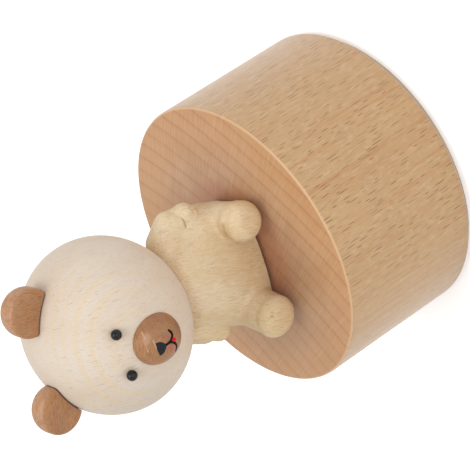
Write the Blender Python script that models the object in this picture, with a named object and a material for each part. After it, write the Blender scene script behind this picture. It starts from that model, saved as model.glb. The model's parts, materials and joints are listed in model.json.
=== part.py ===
# A wooden music box: a turned beech base with a sitting wooden bear that turns while the movement plays.
# The origin is the middle of the underside, +Z is up, and the bear looks along -Y.
# Turning the bear winds the spring, because it stands on the movement's own arbor.

import bmesh
import bpy
import math
from mathutils import Matrix, Vector

MM = 0.001
TURN = 2 * math.pi
ALONG_X = (0, math.pi / 2, 0)

# Gaps
SEAT_GAP = 0.3 * MM
RUN_GAP = 0.3 * MM
FIGURE_GAP = 0.9 * MM

# Wooden base, its cover and the felt under it
BASE_RADIUS = 36.0 * MM
BASE_HEIGHT = 39.3 * MM
RIM_EASE = 0.84 * MM
MOVEMENT_ROOM = 32.3 * MM
SIDE_WALL = 7.0 * MM
SKIRT_WALL = 2.8 * MM
COVER_THICKNESS = 3.5 * MM
FELT_THICKNESS = 1.0 * MM
FELT_MARGIN = 1.6 * MM

# Wood screws
WOOD_SCREW_RADIUS = 0.95 * MM
WOOD_SCREW_HEAD = 1.9 * MM
WOOD_SCREW_HEAD_HEIGHT = 1.1 * MM
COVER_SCREW_LENGTH = 8.5 * MM
PLATE_SCREW_SHARE = 0.4

# Machine screws of the movement
SMALL_SCREW_RADIUS = 0.8 * MM
SMALL_SCREW_HEAD = 1.4 * MM
SMALL_SCREW_HEAD_HEIGHT = 1.1 * MM
COMB_SCREW_LENGTH = 5.0 * MM
SLOT_SHARE = 0.2

# Bedplate with the comb seat
PLATE_THICKNESS = 1.5 * MM
PLATE_INSET = 1.2 * MM
PLATE_LEFT_LIP = 0.55 * MM
PLATE_RIGHT_LIP = 1.65 * MM
PLATE_FRONT = 19.0 * MM
PLATE_BACK = 24.5 * MM
PLATE_SCREW_CIRCLE = 22.5 * MM
PLATE_SCREW_ANGLES = (35, 132, 227)

# Spring barrel, mainspring and arbor
BARREL_RADIUS = 11.5 * MM
BARREL_HEIGHT = 7.3 * MM
BARREL_WALL = 0.7 * MM
BARREL_EAR_LENGTH = 3.8 * MM
BARREL_EAR_HALF = 2.4 * MM
BARREL_EAR_THICKNESS = 1.0 * MM
BARREL_EAR_ANGLES = (45, 225)
SPRING_STRIP = 0.35 * MM
SPRING_TURNS = 6
ARBOR_RADIUS = 1.7 * MM
ARBOR_HUB_RADIUS = 2.4 * MM
STUD_RADIUS = 1.4 * MM
STUD_LENGTH = 8.0 * MM
BUSH_WALL = 1.0 * MM
BUSH_FLANGE = 1.6 * MM
BUSH_FLANGE_HEIGHT = 1.0 * MM
CLIP_THICKNESS = 0.4 * MM
CLIP_RIM = 1.2 * MM
GROOVE_DEPTH = 0.6 * MM

# Wheels
CROWN_OVERHANG = 0.75 * MM
CROWN_TEETH = 30
DRUM_GEAR_TEETH = 18
CROWN_FACE = 2.0 * MM
CROWN_DISC = 1.5 * MM
CROWN_TAPER = 0.4
DRUM_GEAR_WIDTH = 1.8 * MM
TRAIN_MODULE = 0.35 * MM
END_WHEEL_TEETH = 40
PINION_TEETH = 10
TRAIN_WIDTH = 1.2 * MM
WORM_MODULE = 0.3 * MM
WORM_WHEEL_TEETH = 24
WORM_RADIUS = 1.2 * MM
WORM_TURNS = 5
WORM_ROOT_OVERLAP = 0.12 * MM
ADDENDUM = 0.8
TOOTH_FOOT_SHARE = 0.236
TOOTH_TIP_SHARE = 0.122
MESH_PLAY = 0.1 * MM

# Drum, its shaft and brackets
PIN_RADIUS = 0.2 * MM
PIN_HEIGHT = 0.35 * MM
PIN_LENGTH = 1.4 * MM
PINS_PER_TOOTH = 3
PIN_DRIFT = 0.07
GOLDEN_SHARE = 0.618034
SHAFT_RADIUS = 0.9 * MM
BRACKET_THICKNESS = 1.2 * MM
BRACKET_HALF = 4.0 * MM
BRACKET_FOOT = 4.8 * MM
BEARING_EDGE = 1.9 * MM

# Comb
COMB_TEETH = 18
COMB_THICKNESS = 0.8 * MM
COMB_SLIT = 0.3 * MM
COMB_HEEL = 7.9 * MM
COMB_TREBLE_TOOTH = 6.0 * MM
COMB_BASS_TOOTH = 9.4 * MM

# Governor
PIVOT_RADIUS = 0.6 * MM
FAN_RADIUS = 4.0 * MM
FAN_HEIGHT = 5.5 * MM
FAN_THICKNESS = 0.5 * MM
FAN_HUB_WALL = 0.7 * MM
GOVERNOR_FOOT = 1.2 * MM
GOVERNOR_REACH = 1.5 * MM

# Bear
HEAD_RADIUS = 20.55 * MM
HEAD_HALF_HEIGHT = 19.05 * MM
HEAD_HEIGHT = 40.8 * MM
HEAD_BACK = 1.0 * MM
HEAD_TURN = 3.3
HEAD_ROLL = 3.1
LEAN = 0.032
EAR_RADIUS = 5.75 * MM
EAR_FRONT = 2.9 * MM
EAR_DOME = 4.1 * MM
EAR_EDGE = 1.1 * MM
EAR_SIDE = 12.3 * MM
EAR_BACK = 1.7 * MM
EAR_RISE = 18.1 * MM
EYE_RADIUS = 1.25 * MM
EYE_RISE = 0.44 * MM
EYE_PIN = 0.5 * MM
EYE_PIN_LENGTH = 4.0 * MM
LEFT_EYE_AZIMUTH = 16.3
RIGHT_EYE_AZIMUTH = -15.4
EYE_ELEVATION = 25.2
MUZZLE_RADIUS = 6.15 * MM
MUZZLE_HALF_WIDTH = 5.95 * MM
MUZZLE_HALF_HEIGHT = 6.4 * MM
MUZZLE_ELEVATION = 1.9
MUZZLE_SEAT = 18.3 * MM
TORSO_HALF_WIDTH = 14.6 * MM
TORSO_HALF_DEPTH = 9.2 * MM
TORSO_HALF_HEIGHT = 12.8 * MM
TORSO_CENTRE = 10.2 * MM
TORSO_SQUARENESS = 2.2
HIPS_HALF_WIDTH = 14.6 * MM
HIPS_HALF_DEPTH = 9.2 * MM
HIPS_HALF_HEIGHT = 9.5 * MM
HIPS_CENTRE = 3.6 * MM
HIPS_SHIFT = 1.3 * MM
HIPS_SQUARENESS = 2.6
CHEST_HALF_WIDTH = 11.8 * MM
CHEST_HALF_DEPTH = 8.0 * MM
CHEST_HALF_HEIGHT = 6.8 * MM
CHEST_CENTRE = 18.5 * MM
CHEST_SQUARENESS = 2.0
ARM_RADIUS = 4.3 * MM
LEFT_ARM_TOP = (10.8 * MM, 0.3 * MM, 19.4 * MM)
LEFT_ELBOW = (13.1 * MM, 0.2 * MM, 16.2 * MM)
LEFT_PAW = (15.2 * MM, -1.0 * MM, 12.1 * MM)
RIGHT_ARM_TOP = (-11.0 * MM, 0.3 * MM, 19.6 * MM)
RIGHT_ELBOW = (-12.3 * MM, 0.0 * MM, 16.5 * MM)
RIGHT_PAW = (-14.9 * MM, -1.0 * MM, 13.0 * MM)
PAW_RADIUS = 3.1 * MM
LEG_RADIUS = 5.1 * MM
LEG_SINK = 0.5 * MM
LEFT_HIP = 10.0 * MM
LEFT_FOOT = 12.0 * MM
LEFT_REACH = 17.0 * MM
RIGHT_HIP = -12.4 * MM
RIGHT_FOOT = -14.0 * MM
RIGHT_REACH = 16.7 * MM
HIP_FORWARD = 2.0 * MM
BODY_VOXEL = 1.55 * MM
DOWEL_RADIUS = 3.0 * MM
DOWEL_IN_HEAD = 7.0 * MM
DOWEL_IN_BODY = 6.0 * MM
INSERT_WALL = 1.3 * MM
INSERT_LENGTH = 9.0 * MM

# Markers of the axes, which are no part of the box
AXIS_MARK = 5.0 * MM

# Roundness
BASE_SIDES = 60
HEAD_SIDES = 36
WHEEL_SIDES = 28
ROD_SIDES = 16
SMALL_SIDES = 10

# Screws as (shank radius, head radius, head height), and their holes
WOOD_SCREW = (WOOD_SCREW_RADIUS, WOOD_SCREW_HEAD, WOOD_SCREW_HEAD_HEIGHT)
SMALL_SCREW = (SMALL_SCREW_RADIUS, SMALL_SCREW_HEAD, SMALL_SCREW_HEAD_HEIGHT)
WOOD_HOLE = WOOD_SCREW_RADIUS + SEAT_GAP
SMALL_HOLE = SMALL_SCREW_RADIUS + SEAT_GAP

# Levels, from the bottom up
WOOD_BOTTOM = FELT_THICKNESS + SEAT_GAP
WOOD_TOP = WOOD_BOTTOM + BASE_HEIGHT
CEILING = WOOD_BOTTOM + MOVEMENT_ROOM
COVER_TOP = WOOD_BOTTOM + COVER_THICKNESS
LEDGE = COVER_TOP + SEAT_GAP
CAVITY_RADIUS = BASE_RADIUS - SIDE_WALL
COVER_SEAT_RADIUS = BASE_RADIUS - SKIRT_WALL
PLATE_TOP = CEILING - SEAT_GAP
PLATE_BOTTOM = PLATE_TOP - PLATE_THICKNESS
UNDER_PLATE = PLATE_BOTTOM - SEAT_GAP
PLATE_SCREW_HEAD = PLATE_BOTTOM - SEAT_GAP - WOOD_SCREW_HEAD_HEIGHT
PLATE_SCREW_LENGTH = CEILING + PLATE_SCREW_SHARE * (WOOD_TOP - CEILING) - PLATE_SCREW_HEAD
BARREL_BOTTOM = UNDER_PLATE - BARREL_HEIGHT
CROWN_TOP = BARREL_BOTTOM - RUN_GAP
CROWN_BOTTOM = CROWN_TOP - CROWN_DISC
CROWN_OUTER_RADIUS = BARREL_RADIUS + CROWN_OVERHANG
CROWN_PITCH_RADIUS = CROWN_OUTER_RADIUS - CROWN_FACE / 2
CROWN_MODULE = 2 * CROWN_PITCH_RADIUS / CROWN_TEETH
CROWN_ADDENDUM = ADDENDUM * CROWN_MODULE
CROWN_TOOTH = CROWN_ADDENDUM + CROWN_MODULE
CROWN_TIP = CROWN_BOTTOM - CROWN_TOOTH
DRUM_GEAR_RADIUS = CROWN_MODULE * DRUM_GEAR_TEETH / 2
DRUM_AXIS_Z = CROWN_TIP + CROWN_ADDENDUM - DRUM_GEAR_RADIUS - MESH_PLAY
DRUM_RADIUS = CROWN_TIP - DRUM_AXIS_Z - 2 * RUN_GAP - PIN_HEIGHT
FIGURE_BOTTOM = WOOD_TOP + FIGURE_GAP

# Places along the drum's axis, from the left
GEAR_LEFT = -CROWN_PITCH_RADIUS - DRUM_GEAR_WIDTH / 2
GEAR_RIGHT = GEAR_LEFT + DRUM_GEAR_WIDTH
LEFT_BRACKET = GEAR_LEFT - RUN_GAP - BRACKET_THICKNESS
DRUM_LEFT = GEAR_RIGHT + SEAT_GAP
END_WHEEL_LEFT = CROWN_OUTER_RADIUS + 2 * RUN_GAP
END_WHEEL_RIGHT = END_WHEEL_LEFT + TRAIN_WIDTH
DRUM_RIGHT = END_WHEEL_LEFT - SEAT_GAP
RIGHT_BRACKET = END_WHEEL_RIGHT + RUN_GAP
RIGHT_BRACKET_END = RIGHT_BRACKET + BRACKET_THICKNESS
WORM_WHEEL_LEFT = RIGHT_BRACKET_END + FAN_HUB_WALL + RUN_GAP
WORM_WHEEL_RIGHT = WORM_WHEEL_LEFT + TRAIN_WIDTH
WORM_X = (WORM_WHEEL_LEFT + WORM_WHEEL_RIGHT) / 2
GOVERNOR_SPINE = WORM_WHEEL_RIGHT + FAN_HUB_WALL + WORM_RADIUS
GOVERNOR_RIGHT = GOVERNOR_SPINE + BRACKET_THICKNESS
PLATE_LEFT = LEFT_BRACKET - BRACKET_FOOT - PLATE_LEFT_LIP
PLATE_RIGHT = GOVERNOR_RIGHT + PLATE_RIGHT_LIP

# Places across it: the idler and the worm lie on the -Y side
END_WHEEL_RADIUS = TRAIN_MODULE * END_WHEEL_TEETH / 2
PINION_RADIUS = TRAIN_MODULE * PINION_TEETH / 2
WORM_WHEEL_RADIUS = WORM_MODULE * WORM_WHEEL_TEETH / 2
IDLER_Y = -(END_WHEEL_RADIUS + PINION_RADIUS + MESH_PLAY)
WORM_Y = IDLER_Y - (WORM_WHEEL_RADIUS + WORM_RADIUS + MESH_PLAY)
WORM_LEAD = math.pi * WORM_MODULE
FAN_TOP = UNDER_PLATE - BRACKET_THICKNESS - 2 * RUN_GAP
FAN_BOTTOM = FAN_TOP - FAN_HEIGHT
WORM_FOOT_TOP = DRUM_AXIS_Z - WORM_LEAD * WORM_TURNS / 2 - 2 * RUN_GAP

# Comb, level with the drum's axis
PIN_CIRCLE = DRUM_RADIUS + PIN_HEIGHT
COMB_TIP_Y = PIN_CIRCLE + RUN_GAP
COMB_BACK = COMB_TIP_Y + COMB_BASS_TOOTH + COMB_HEEL
COMB_BOTTOM = DRUM_AXIS_Z - COMB_THICKNESS / 2
COMB_TOP = COMB_BOTTOM + COMB_THICKNESS
COMB_SEAT = COMB_TOP + SEAT_GAP
COMB_LEFT = DRUM_LEFT + SEAT_GAP
COMB_RIGHT = DRUM_RIGHT - SEAT_GAP
COMB_PITCH = (COMB_RIGHT - COMB_LEFT) / COMB_TEETH

# Bear
HEAD_CENTRE = Vector((LEAN * HEAD_HEIGHT, HEAD_BACK, WOOD_TOP + HEAD_HEIGHT))
HEAD_SIZE = Vector((HEAD_RADIUS, HEAD_RADIUS, HEAD_HALF_HEIGHT))
HEAD_BOTTOM = HEAD_CENTRE.z - HEAD_HALF_HEIGHT

FINISHES = {
    "beech": ((197, 162, 119), 0.5, 0.0),
    "maple": ((224, 205, 180), 0.55, 0.0),
    "carved": ((211, 188, 154), 0.6, 0.0),
    "brown wood": ((172, 129, 94), 0.5, 0.0),
    "plywood": ((205, 178, 138), 0.65, 0.0),
    "felt": ((84, 92, 70), 0.95, 0.0),
    "bead": ((12, 12, 13), 0.15, 0.0),
    "zinc": ((168, 170, 172), 0.45, 1.0),
    "brass": ((201, 168, 92), 0.35, 1.0),
    "steel": ((186, 188, 190), 0.35, 1.0),
    "spring steel": ((96, 104, 118), 0.35, 1.0),
    "nylon": ((236, 234, 226), 0.45, 0.0),
}


def linear(channel):
    channel /= 255
    return channel / 12.92 if channel <= 0.04045 else ((channel + 0.055) / 1.055) ** 2.4


def add_material(name, finish):
    colour, roughness, metallic = FINISHES[finish]
    made = bpy.data.materials.new(name)
    made.use_nodes = True
    shader = made.node_tree.nodes["Principled BSDF"]
    shader.inputs["Base Color"].default_value = [linear(c) for c in colour] + [1.0]
    shader.inputs["Roughness"].default_value = roughness
    shader.inputs["Metallic"].default_value = metallic
    return made


def add_object(name, mesh, location=(0, 0, 0), rotation=(0, 0, 0)):
    obj = bpy.data.objects.new(name, mesh)
    obj.location = location
    obj.rotation_euler = rotation
    bpy.context.scene.collection.objects.link(obj)
    return obj


def add_part(name, mesh, finish, location=(0, 0, 0), rotation=(0, 0, 0), parent=None):
    obj = add_object(name, mesh, location, rotation)
    obj.data.materials.clear()
    obj.data.materials.append(add_material(name, finish))
    if parent:
        obj.parent = parent
        obj.matrix_parent_inverse = parent.matrix_world.inverted()
    return obj


def add_axis(name, location, rotation=(0, 0, 0)):
    axis = add_object(name, None, location, rotation)
    axis.empty_display_size = AXIS_MARK
    bpy.context.view_layer.update()
    return axis


def to_mesh(shape, name):
    bmesh.ops.recalc_face_normals(shape, faces=shape.faces)
    mesh = bpy.data.meshes.new(name)
    shape.to_mesh(mesh)
    shape.free()
    mesh.shade_smooth()
    mesh.set_sharp_from_angle(angle=math.radians(35))
    return mesh


def turned_shape(profile, sides):
    # The profile is closed, as (radius, height) points, and an edge on the axis is left out.
    shape = bmesh.new()
    points = [shape.verts.new((radius, 0, height)) for radius, height in profile]
    edges = [
        shape.edges.new(pair)
        for pair in zip(points, points[1:] + points[:1])
        if pair[0].co.x > 0 or pair[1].co.x > 0
    ]
    bmesh.ops.spin(
        shape,
        geom=points + edges,
        cent=(0, 0, 0),
        axis=(0, 0, 1),
        angle=TURN,
        steps=sides,
        use_merge=True,
    )
    bmesh.ops.remove_doubles(shape, verts=shape.verts, dist=0.001 * MM)
    bmesh.ops.recalc_face_normals(shape, faces=shape.faces)
    return shape


def turned(name, profile, sides=WHEEL_SIDES):
    return to_mesh(turned_shape(profile, sides), name)


def rod_profile(radius, bottom, top):
    return [(0, bottom), (radius, bottom), (radius, top), (0, top)]


def ring_profile(inner, outer, bottom, top):
    return [(inner, bottom), (outer, bottom), (outer, top), (inner, top)]


def plate(name, outline, bottom, top):
    # An outline in XY, extruded from one height to the other.
    shape = bmesh.new()
    face = shape.faces.new([shape.verts.new((x, y, bottom)) for x, y in outline])
    grown = bmesh.ops.extrude_face_region(shape, geom=[face])["geom"]
    moved = [part for part in grown if isinstance(part, bmesh.types.BMVert)]
    bmesh.ops.translate(shape, verts=moved, vec=(0, 0, top - bottom))
    return to_mesh(shape, name)


def box(name, low, high):
    outline = [(low[0], low[1]), (high[0], low[1]), (high[0], high[1]), (low[0], high[1])]
    return plate(name, outline, low[2], high[2])


def combine(obj, tool, operation):
    tool.hide_render = True
    tool.display_type = "WIRE"
    step = obj.modifiers.new(tool.name, "BOOLEAN")
    step.operation = operation
    step.solver = "EXACT"
    step.object = tool
    return obj


def cut_rod(obj, radius, start, end, sides=SMALL_SIDES):
    # A round hole from one point to another, in world space.
    start, end = Vector(start), Vector(end)
    way = end - start
    mesh = turned(obj.name + "_hole", rod_profile(radius, 0, way.length), sides)
    mesh.transform(Matrix.Translation(start) @ way.to_track_quat("Z", "Y").to_matrix().to_4x4())
    combine(obj, add_object(obj.name + "_hole", mesh), "DIFFERENCE")


def baked(obj, name):
    # The object's mesh with its modifiers applied; the object and its cutters go.
    bpy.context.view_layer.update()
    mesh = bpy.data.meshes.new_from_object(obj.evaluated_get(bpy.context.evaluated_depsgraph_get()))
    mesh.name = name
    for helper in [step.object for step in obj.modifiers] + [obj]:
        bpy.data.objects.remove(helper)
    return mesh


def on_circle(radius, degrees, height):
    angle = math.radians(degrees)
    return Vector((radius * math.cos(angle), radius * math.sin(angle), height))


def gear_outline(module, teeth, first_tooth):
    # Straight-sided teeth, thinned for play; first_tooth is the angle of one tooth's middle.
    pitch_radius = module * teeth / 2
    root, tip = pitch_radius - module, pitch_radius + ADDENDUM * module
    pitch = TURN / teeth
    wide, narrow = TOOTH_FOOT_SHARE * pitch, TOOTH_TIP_SHARE * pitch
    outline = []
    for tooth in range(teeth):
        middle = first_tooth + tooth * pitch
        for radius, offset in ((root, -wide), (tip, -narrow), (tip, narrow), (root, wide)):
            outline.append((radius * math.cos(middle + offset), radius * math.sin(middle + offset)))
    return outline


def gear(name, module, teeth, first_tooth, width, bore):
    blank = add_object(name + "_blank", plate(name, gear_outline(module, teeth, first_tooth), 0, width))
    cut_rod(blank, bore, (0, 0, -width), (0, 0, 2 * width), ROD_SIDES)
    return baked(blank, name)


def screw_profile(screw, length, countersunk, grow=0.0):
    # Head down, at z = 0; the shank points up.
    radius, head, head_height = screw
    radius, head = radius + grow, head + grow
    rim = 0.25 * head_height
    neck = (radius, head_height) if countersunk else (head, head_height)
    point = length - radius
    profile = [(0, 0), (head, 0), (head, rim), neck]
    if not countersunk:
        profile.append((radius, head_height))
    return profile + [(radius, point), (0.3 * radius, length), (0, length)]


def add_screws(name, screw, length, countersunk, finish, places):
    # One slotted screw, copied to every place.
    head, head_height = screw[1:]
    profile = screw_profile(screw, length, countersunk)
    blank = add_object(name + "_blank", turned(name, profile, SMALL_SIDES))
    slot_half = SLOT_SHARE * head
    low = (-2 * head, -slot_half, -head)
    high = (2 * head, slot_half, 0.5 * head_height)
    combine(blank, add_object(name + "_slot", box(name, low, high)), "DIFFERENCE")
    mesh = baked(blank, name)
    for number, place in enumerate(places, 1):
        add_part(f"{name}_{number}", mesh.copy(), finish, place)


# Wooden base

def rim_arc(radius, height, ease, start):
    # The eased rim: a quarter round that starts at the given angle.
    angles = [math.radians(start + 30 * step) for step in range(4)]
    return [(radius - ease + ease * math.cos(a), height + ease * math.sin(a)) for a in angles]


def make_base():
    bush_hole = ARBOR_RADIUS + RUN_GAP + BUSH_WALL + SEAT_GAP
    flange_seat = bush_hole + BUSH_FLANGE
    flange_level = WOOD_TOP - BUSH_FLANGE_HEIGHT - 2 * SEAT_GAP
    profile = rim_arc(BASE_RADIUS, WOOD_BOTTOM + RIM_EASE, RIM_EASE, -90)
    profile += rim_arc(BASE_RADIUS, WOOD_TOP - RIM_EASE, RIM_EASE, 0)
    profile += [
        (flange_seat, WOOD_TOP),
        (flange_seat, flange_level),
        (bush_hole, flange_level),
        (bush_hole, CEILING),
        (CAVITY_RADIUS, CEILING),
        (CAVITY_RADIUS, LEDGE),
        (COVER_SEAT_RADIUS, LEDGE),
        (COVER_SEAT_RADIUS, WOOD_BOTTOM),
    ]
    shell = add_part("base_shell", turned("base_shell", profile, BASE_SIDES), "beech")
    for place in cover_screw_places():
        cut_rod(shell, WOOD_HOLE, place, place + Vector((0, 0, COVER_SCREW_LENGTH + 2 * SEAT_GAP)))
    for place in plate_screw_places():
        cut_rod(shell, WOOD_HOLE, place, place + Vector((0, 0, PLATE_SCREW_LENGTH + 2 * SEAT_GAP)))

    cover_radius = COVER_SEAT_RADIUS - SEAT_GAP
    disc = turned("bottom_cover", rod_profile(cover_radius, WOOD_BOTTOM, COVER_TOP), BASE_SIDES)
    cover = add_part("bottom_cover", disc, "plywood")
    cone = screw_profile(WOOD_SCREW, COVER_SCREW_LENGTH, True, SEAT_GAP)
    cone[0] = (0, -COVER_THICKNESS)
    cone[1] = (cone[1][0], -COVER_THICKNESS)
    for place in cover_screw_places():
        hole = add_object("cover_hole", turned("cover_hole", cone, SMALL_SIDES), place)
        combine(cover, hole, "DIFFERENCE")
    add_screws("cover_screw", WOOD_SCREW, COVER_SCREW_LENGTH, True, "brass", cover_screw_places())

    felt = rod_profile(BASE_RADIUS - FELT_MARGIN, 0, FELT_THICKNESS)
    add_part("felt_pad", turned("felt_pad", felt, BASE_SIDES), "felt")


def cover_screw_places():
    circle = (CAVITY_RADIUS + COVER_SEAT_RADIUS) / 2
    return [on_circle(circle, angle, WOOD_BOTTOM + SEAT_GAP) for angle in (90, 210, 330)]


def plate_screw_places():
    return [on_circle(PLATE_SCREW_CIRCLE, angle, PLATE_SCREW_HEAD) for angle in PLATE_SCREW_ANGLES]


# Bedplate, barrel and what is fixed to them

def plate_outline():
    # A round plate that just enters the cavity, with four flats.
    radius = CAVITY_RADIUS - PLATE_INSET
    outline = []
    for step in range(WHEEL_SIDES):
        spot = on_circle(radius, 360 * (step + 0.5) / WHEEL_SIDES, 0)
        x = min(max(spot.x, PLATE_LEFT), PLATE_RIGHT)
        y = min(max(spot.y, -PLATE_FRONT), PLATE_BACK)
        if not outline or (Vector((x, y)) - Vector(outline[-1])).length > 0.5 * MM:
            outline.append((x, y))
    return outline


def comb_screw_places():
    y = COMB_TIP_Y + COMB_BASS_TOOTH + COMB_HEEL / 2
    z = COMB_BOTTOM - SEAT_GAP - SMALL_SCREW_HEAD_HEIGHT
    span = COMB_RIGHT - COMB_LEFT
    return [Vector((COMB_LEFT + share * span, y, z)) for share in (0.25, 0.75)]


def barrel_screw_places():
    z = UNDER_PLATE - BARREL_EAR_THICKNESS - SEAT_GAP - SMALL_SCREW_HEAD_HEIGHT
    circle = BARREL_RADIUS + BARREL_EAR_LENGTH / 2
    return [on_circle(circle, angle, z) for angle in BARREL_EAR_ANGLES]


def bracket_screw_places():
    z = UNDER_PLATE - BRACKET_THICKNESS - SEAT_GAP - SMALL_SCREW_HEAD_HEIGHT
    foot = BRACKET_FOOT / 2
    return [
        Vector((LEFT_BRACKET - foot, 0, z)),
        Vector((RIGHT_BRACKET_END + foot, 0, z)),
        Vector((WORM_X, -BRACKET_HALF - SEAT_GAP - SMALL_SCREW_HEAD - SEAT_GAP, z)),
    ]


def make_bedplate():
    bed = add_part("bedplate", plate("bedplate", plate_outline(), PLATE_BOTTOM, PLATE_TOP), "zinc")
    seat_low = (COMB_LEFT - SEAT_GAP, COMB_BACK - COMB_HEEL + SEAT_GAP, COMB_SEAT)
    seat_high = (COMB_RIGHT + SEAT_GAP, COMB_BACK - SEAT_GAP, PLATE_BOTTOM + PLATE_THICKNESS / 2)
    combine(bed, add_object("comb_seat", box("comb_seat", seat_low, seat_high)), "UNION")
    arbor_hole = ARBOR_RADIUS + 2 * RUN_GAP
    cut_rod(bed, arbor_hole, (0, 0, PLATE_BOTTOM - MM), (0, 0, PLATE_TOP + MM), WHEEL_SIDES)
    for place in plate_screw_places():
        cut_rod(bed, WOOD_HOLE, place, place + Vector((0, 0, PLATE_SCREW_LENGTH)))
    for place in barrel_screw_places() + bracket_screw_places():
        cut_rod(bed, SMALL_HOLE, place, (place.x, place.y, PLATE_TOP + MM))
    for place in comb_screw_places():
        cut_rod(bed, SMALL_HOLE, place, place + Vector((0, 0, COMB_SCREW_LENGTH + SEAT_GAP)))

    add_screws("bedplate_screw", WOOD_SCREW, PLATE_SCREW_LENGTH, False, "steel", plate_screw_places())
    sets = (("barrel_screw", barrel_screw_places()), ("bracket_screw", bracket_screw_places()))
    for name, places in sets:
        length = PLATE_TOP - SEAT_GAP - places[0].z
        add_screws(name, SMALL_SCREW, length, False, "steel", places)


def make_barrel():
    inner = BARREL_RADIUS - BARREL_WALL
    hole = ARBOR_RADIUS + RUN_GAP + BARREL_WALL / 2
    floor = BARREL_BOTTOM + BARREL_WALL
    profile = [
        (hole, BARREL_BOTTOM),
        (BARREL_RADIUS, BARREL_BOTTOM),
        (BARREL_RADIUS, UNDER_PLATE),
        (inner, UNDER_PLATE),
        (inner, floor),
        (hole, floor),
    ]
    barrel = add_part("spring_barrel", turned("spring_barrel", profile), "brass")
    for angle in BARREL_EAR_ANGLES:
        low = ((inner + BARREL_RADIUS) / 2, -BARREL_EAR_HALF, UNDER_PLATE - BARREL_EAR_THICKNESS)
        high = (BARREL_RADIUS + BARREL_EAR_LENGTH, BARREL_EAR_HALF, UNDER_PLATE)
        turn = (0, 0, math.radians(angle))
        ear = add_object("barrel_ear", box("barrel_ear", low, high), rotation=turn)
        combine(barrel, ear, "UNION")
    for place in barrel_screw_places():
        cut_rod(barrel, SMALL_HOLE, place, place + Vector((0, 0, BARREL_HEIGHT)))

    # The mainspring: a flat strip wound from the arbor's hub out to the barrel's wall.
    start = ARBOR_HUB_RADIUS + RUN_GAP
    end = inner - SEAT_GAP - SPRING_STRIP
    low, high = floor + RUN_GAP, UNDER_PLATE - RUN_GAP
    steps = SPRING_TURNS * ROD_SIDES
    shape = bmesh.new()
    rows = []
    for step in range(steps + 1):
        share = step / steps
        inside = start + (end - start) * share
        outside = inside + SPRING_STRIP
        degrees = 360 * share * SPRING_TURNS
        corners = ((inside, low), (outside, low), (outside, high), (inside, high))
        rows.append([shape.verts.new(on_circle(radius, degrees, z)) for radius, z in corners])
    for row, following in zip(rows, rows[1:]):
        for side in range(4):
            shape.faces.new((row[side], row[side - 1], following[side - 1], following[side]))
    shape.faces.new(rows[0])
    shape.faces.new(rows[-1])
    add_part("mainspring", to_mesh(shape, "mainspring"), "spring steel")


def make_bush():
    bore = ARBOR_RADIUS + RUN_GAP
    outer = bore + BUSH_WALL
    flange = outer + BUSH_FLANGE
    top = WOOD_TOP - SEAT_GAP
    under = top - BUSH_FLANGE_HEIGHT
    low = CEILING + SEAT_GAP
    profile = [(bore, low), (outer, low), (outer, under), (flange, under), (flange, top), (bore, top)]
    add_part("spindle_bush", turned("spindle_bush", profile), "brass")


def make_comb():
    # Long bass teeth by the gear, short treble teeth by the governor.
    front = COMB_TIP_Y
    outline = [(COMB_RIGHT, COMB_BACK), (COMB_LEFT, COMB_BACK)]
    for tooth in range(COMB_TEETH):
        left = COMB_LEFT + tooth * COMB_PITCH
        share = tooth / (COMB_TEETH - 1)
        root = front + COMB_BASS_TOOTH + (COMB_TREBLE_TOOTH - COMB_BASS_TOOTH) * share
        tip = [(left + COMB_SLIT / 2, front), (left + COMB_PITCH - COMB_SLIT / 2, front)]
        outline += [(left + COMB_SLIT / 2, root), *tip, (left + COMB_PITCH - COMB_SLIT / 2, root)]
    comb = add_part("comb", plate("comb", outline, COMB_BOTTOM, COMB_TOP), "spring steel")
    for place in comb_screw_places():
        cut_rod(comb, SMALL_HOLE, place, place + Vector((0, 0, COMB_SCREW_LENGTH)))
    add_screws("comb_screw", SMALL_SCREW, COMB_SCREW_LENGTH, False, "steel", comb_screw_places())


def cross_plate(name, outline, left, right):
    # An outline in (y, z), extruded along X.
    mesh = plate(name, outline, left, right)
    mesh.transform(Matrix(((0, 0, 1, 0), (1, 0, 0, 0), (0, 1, 0, 0), (0, 0, 0, 1))))
    return mesh


def make_brackets():
    low = DRUM_AXIS_Z - BEARING_EDGE
    half = BRACKET_HALF
    shared = [(-half, UNDER_PLATE), (half, UNDER_PLATE), (half, DRUM_AXIS_Z), (BEARING_EDGE, low)]
    left_outline = shared + [(-BEARING_EDGE, low), (-half, DRUM_AXIS_Z)]
    arm_end, arm_top = IDLER_Y - BEARING_EDGE, DRUM_AXIS_Z + BEARING_EDGE
    right_outline = shared + [(arm_end, low), (arm_end, arm_top), (-half, arm_top)]
    foot_bottom = UNDER_PLATE - BRACKET_THICKNESS
    sides = (
        ("drum_bracket_left", left_outline, LEFT_BRACKET, -1),
        ("drum_bracket_right", right_outline, RIGHT_BRACKET, 1),
    )
    screws = bracket_screw_places()
    for (name, outline, start, way), screw in zip(sides, screws):
        end = start + BRACKET_THICKNESS
        bracket = add_part(name, cross_plate(name, outline, start, end), "steel")
        middle = (start + end) / 2
        near, far = sorted((middle, middle + way * (BRACKET_FOOT + BRACKET_THICKNESS / 2)))
        foot = box(name + "_foot", (near, -half, foot_bottom), (far, half, UNDER_PLATE))
        combine(bracket, add_object(name + "_foot", foot), "UNION")
        cut_rod(bracket, SMALL_HOLE, screw, (screw.x, screw.y, PLATE_TOP))
        outer, inner = start - MM, end + MM
        bore = SHAFT_RADIUS + RUN_GAP
        cut_rod(bracket, bore, (outer, 0, DRUM_AXIS_Z), (inner, 0, DRUM_AXIS_Z), ROD_SIDES)
        if way > 0:
            bore = PIVOT_RADIUS + RUN_GAP
            cut_rod(bracket, bore, (outer, IDLER_Y, DRUM_AXIS_Z), (inner, IDLER_Y, DRUM_AXIS_Z))


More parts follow.
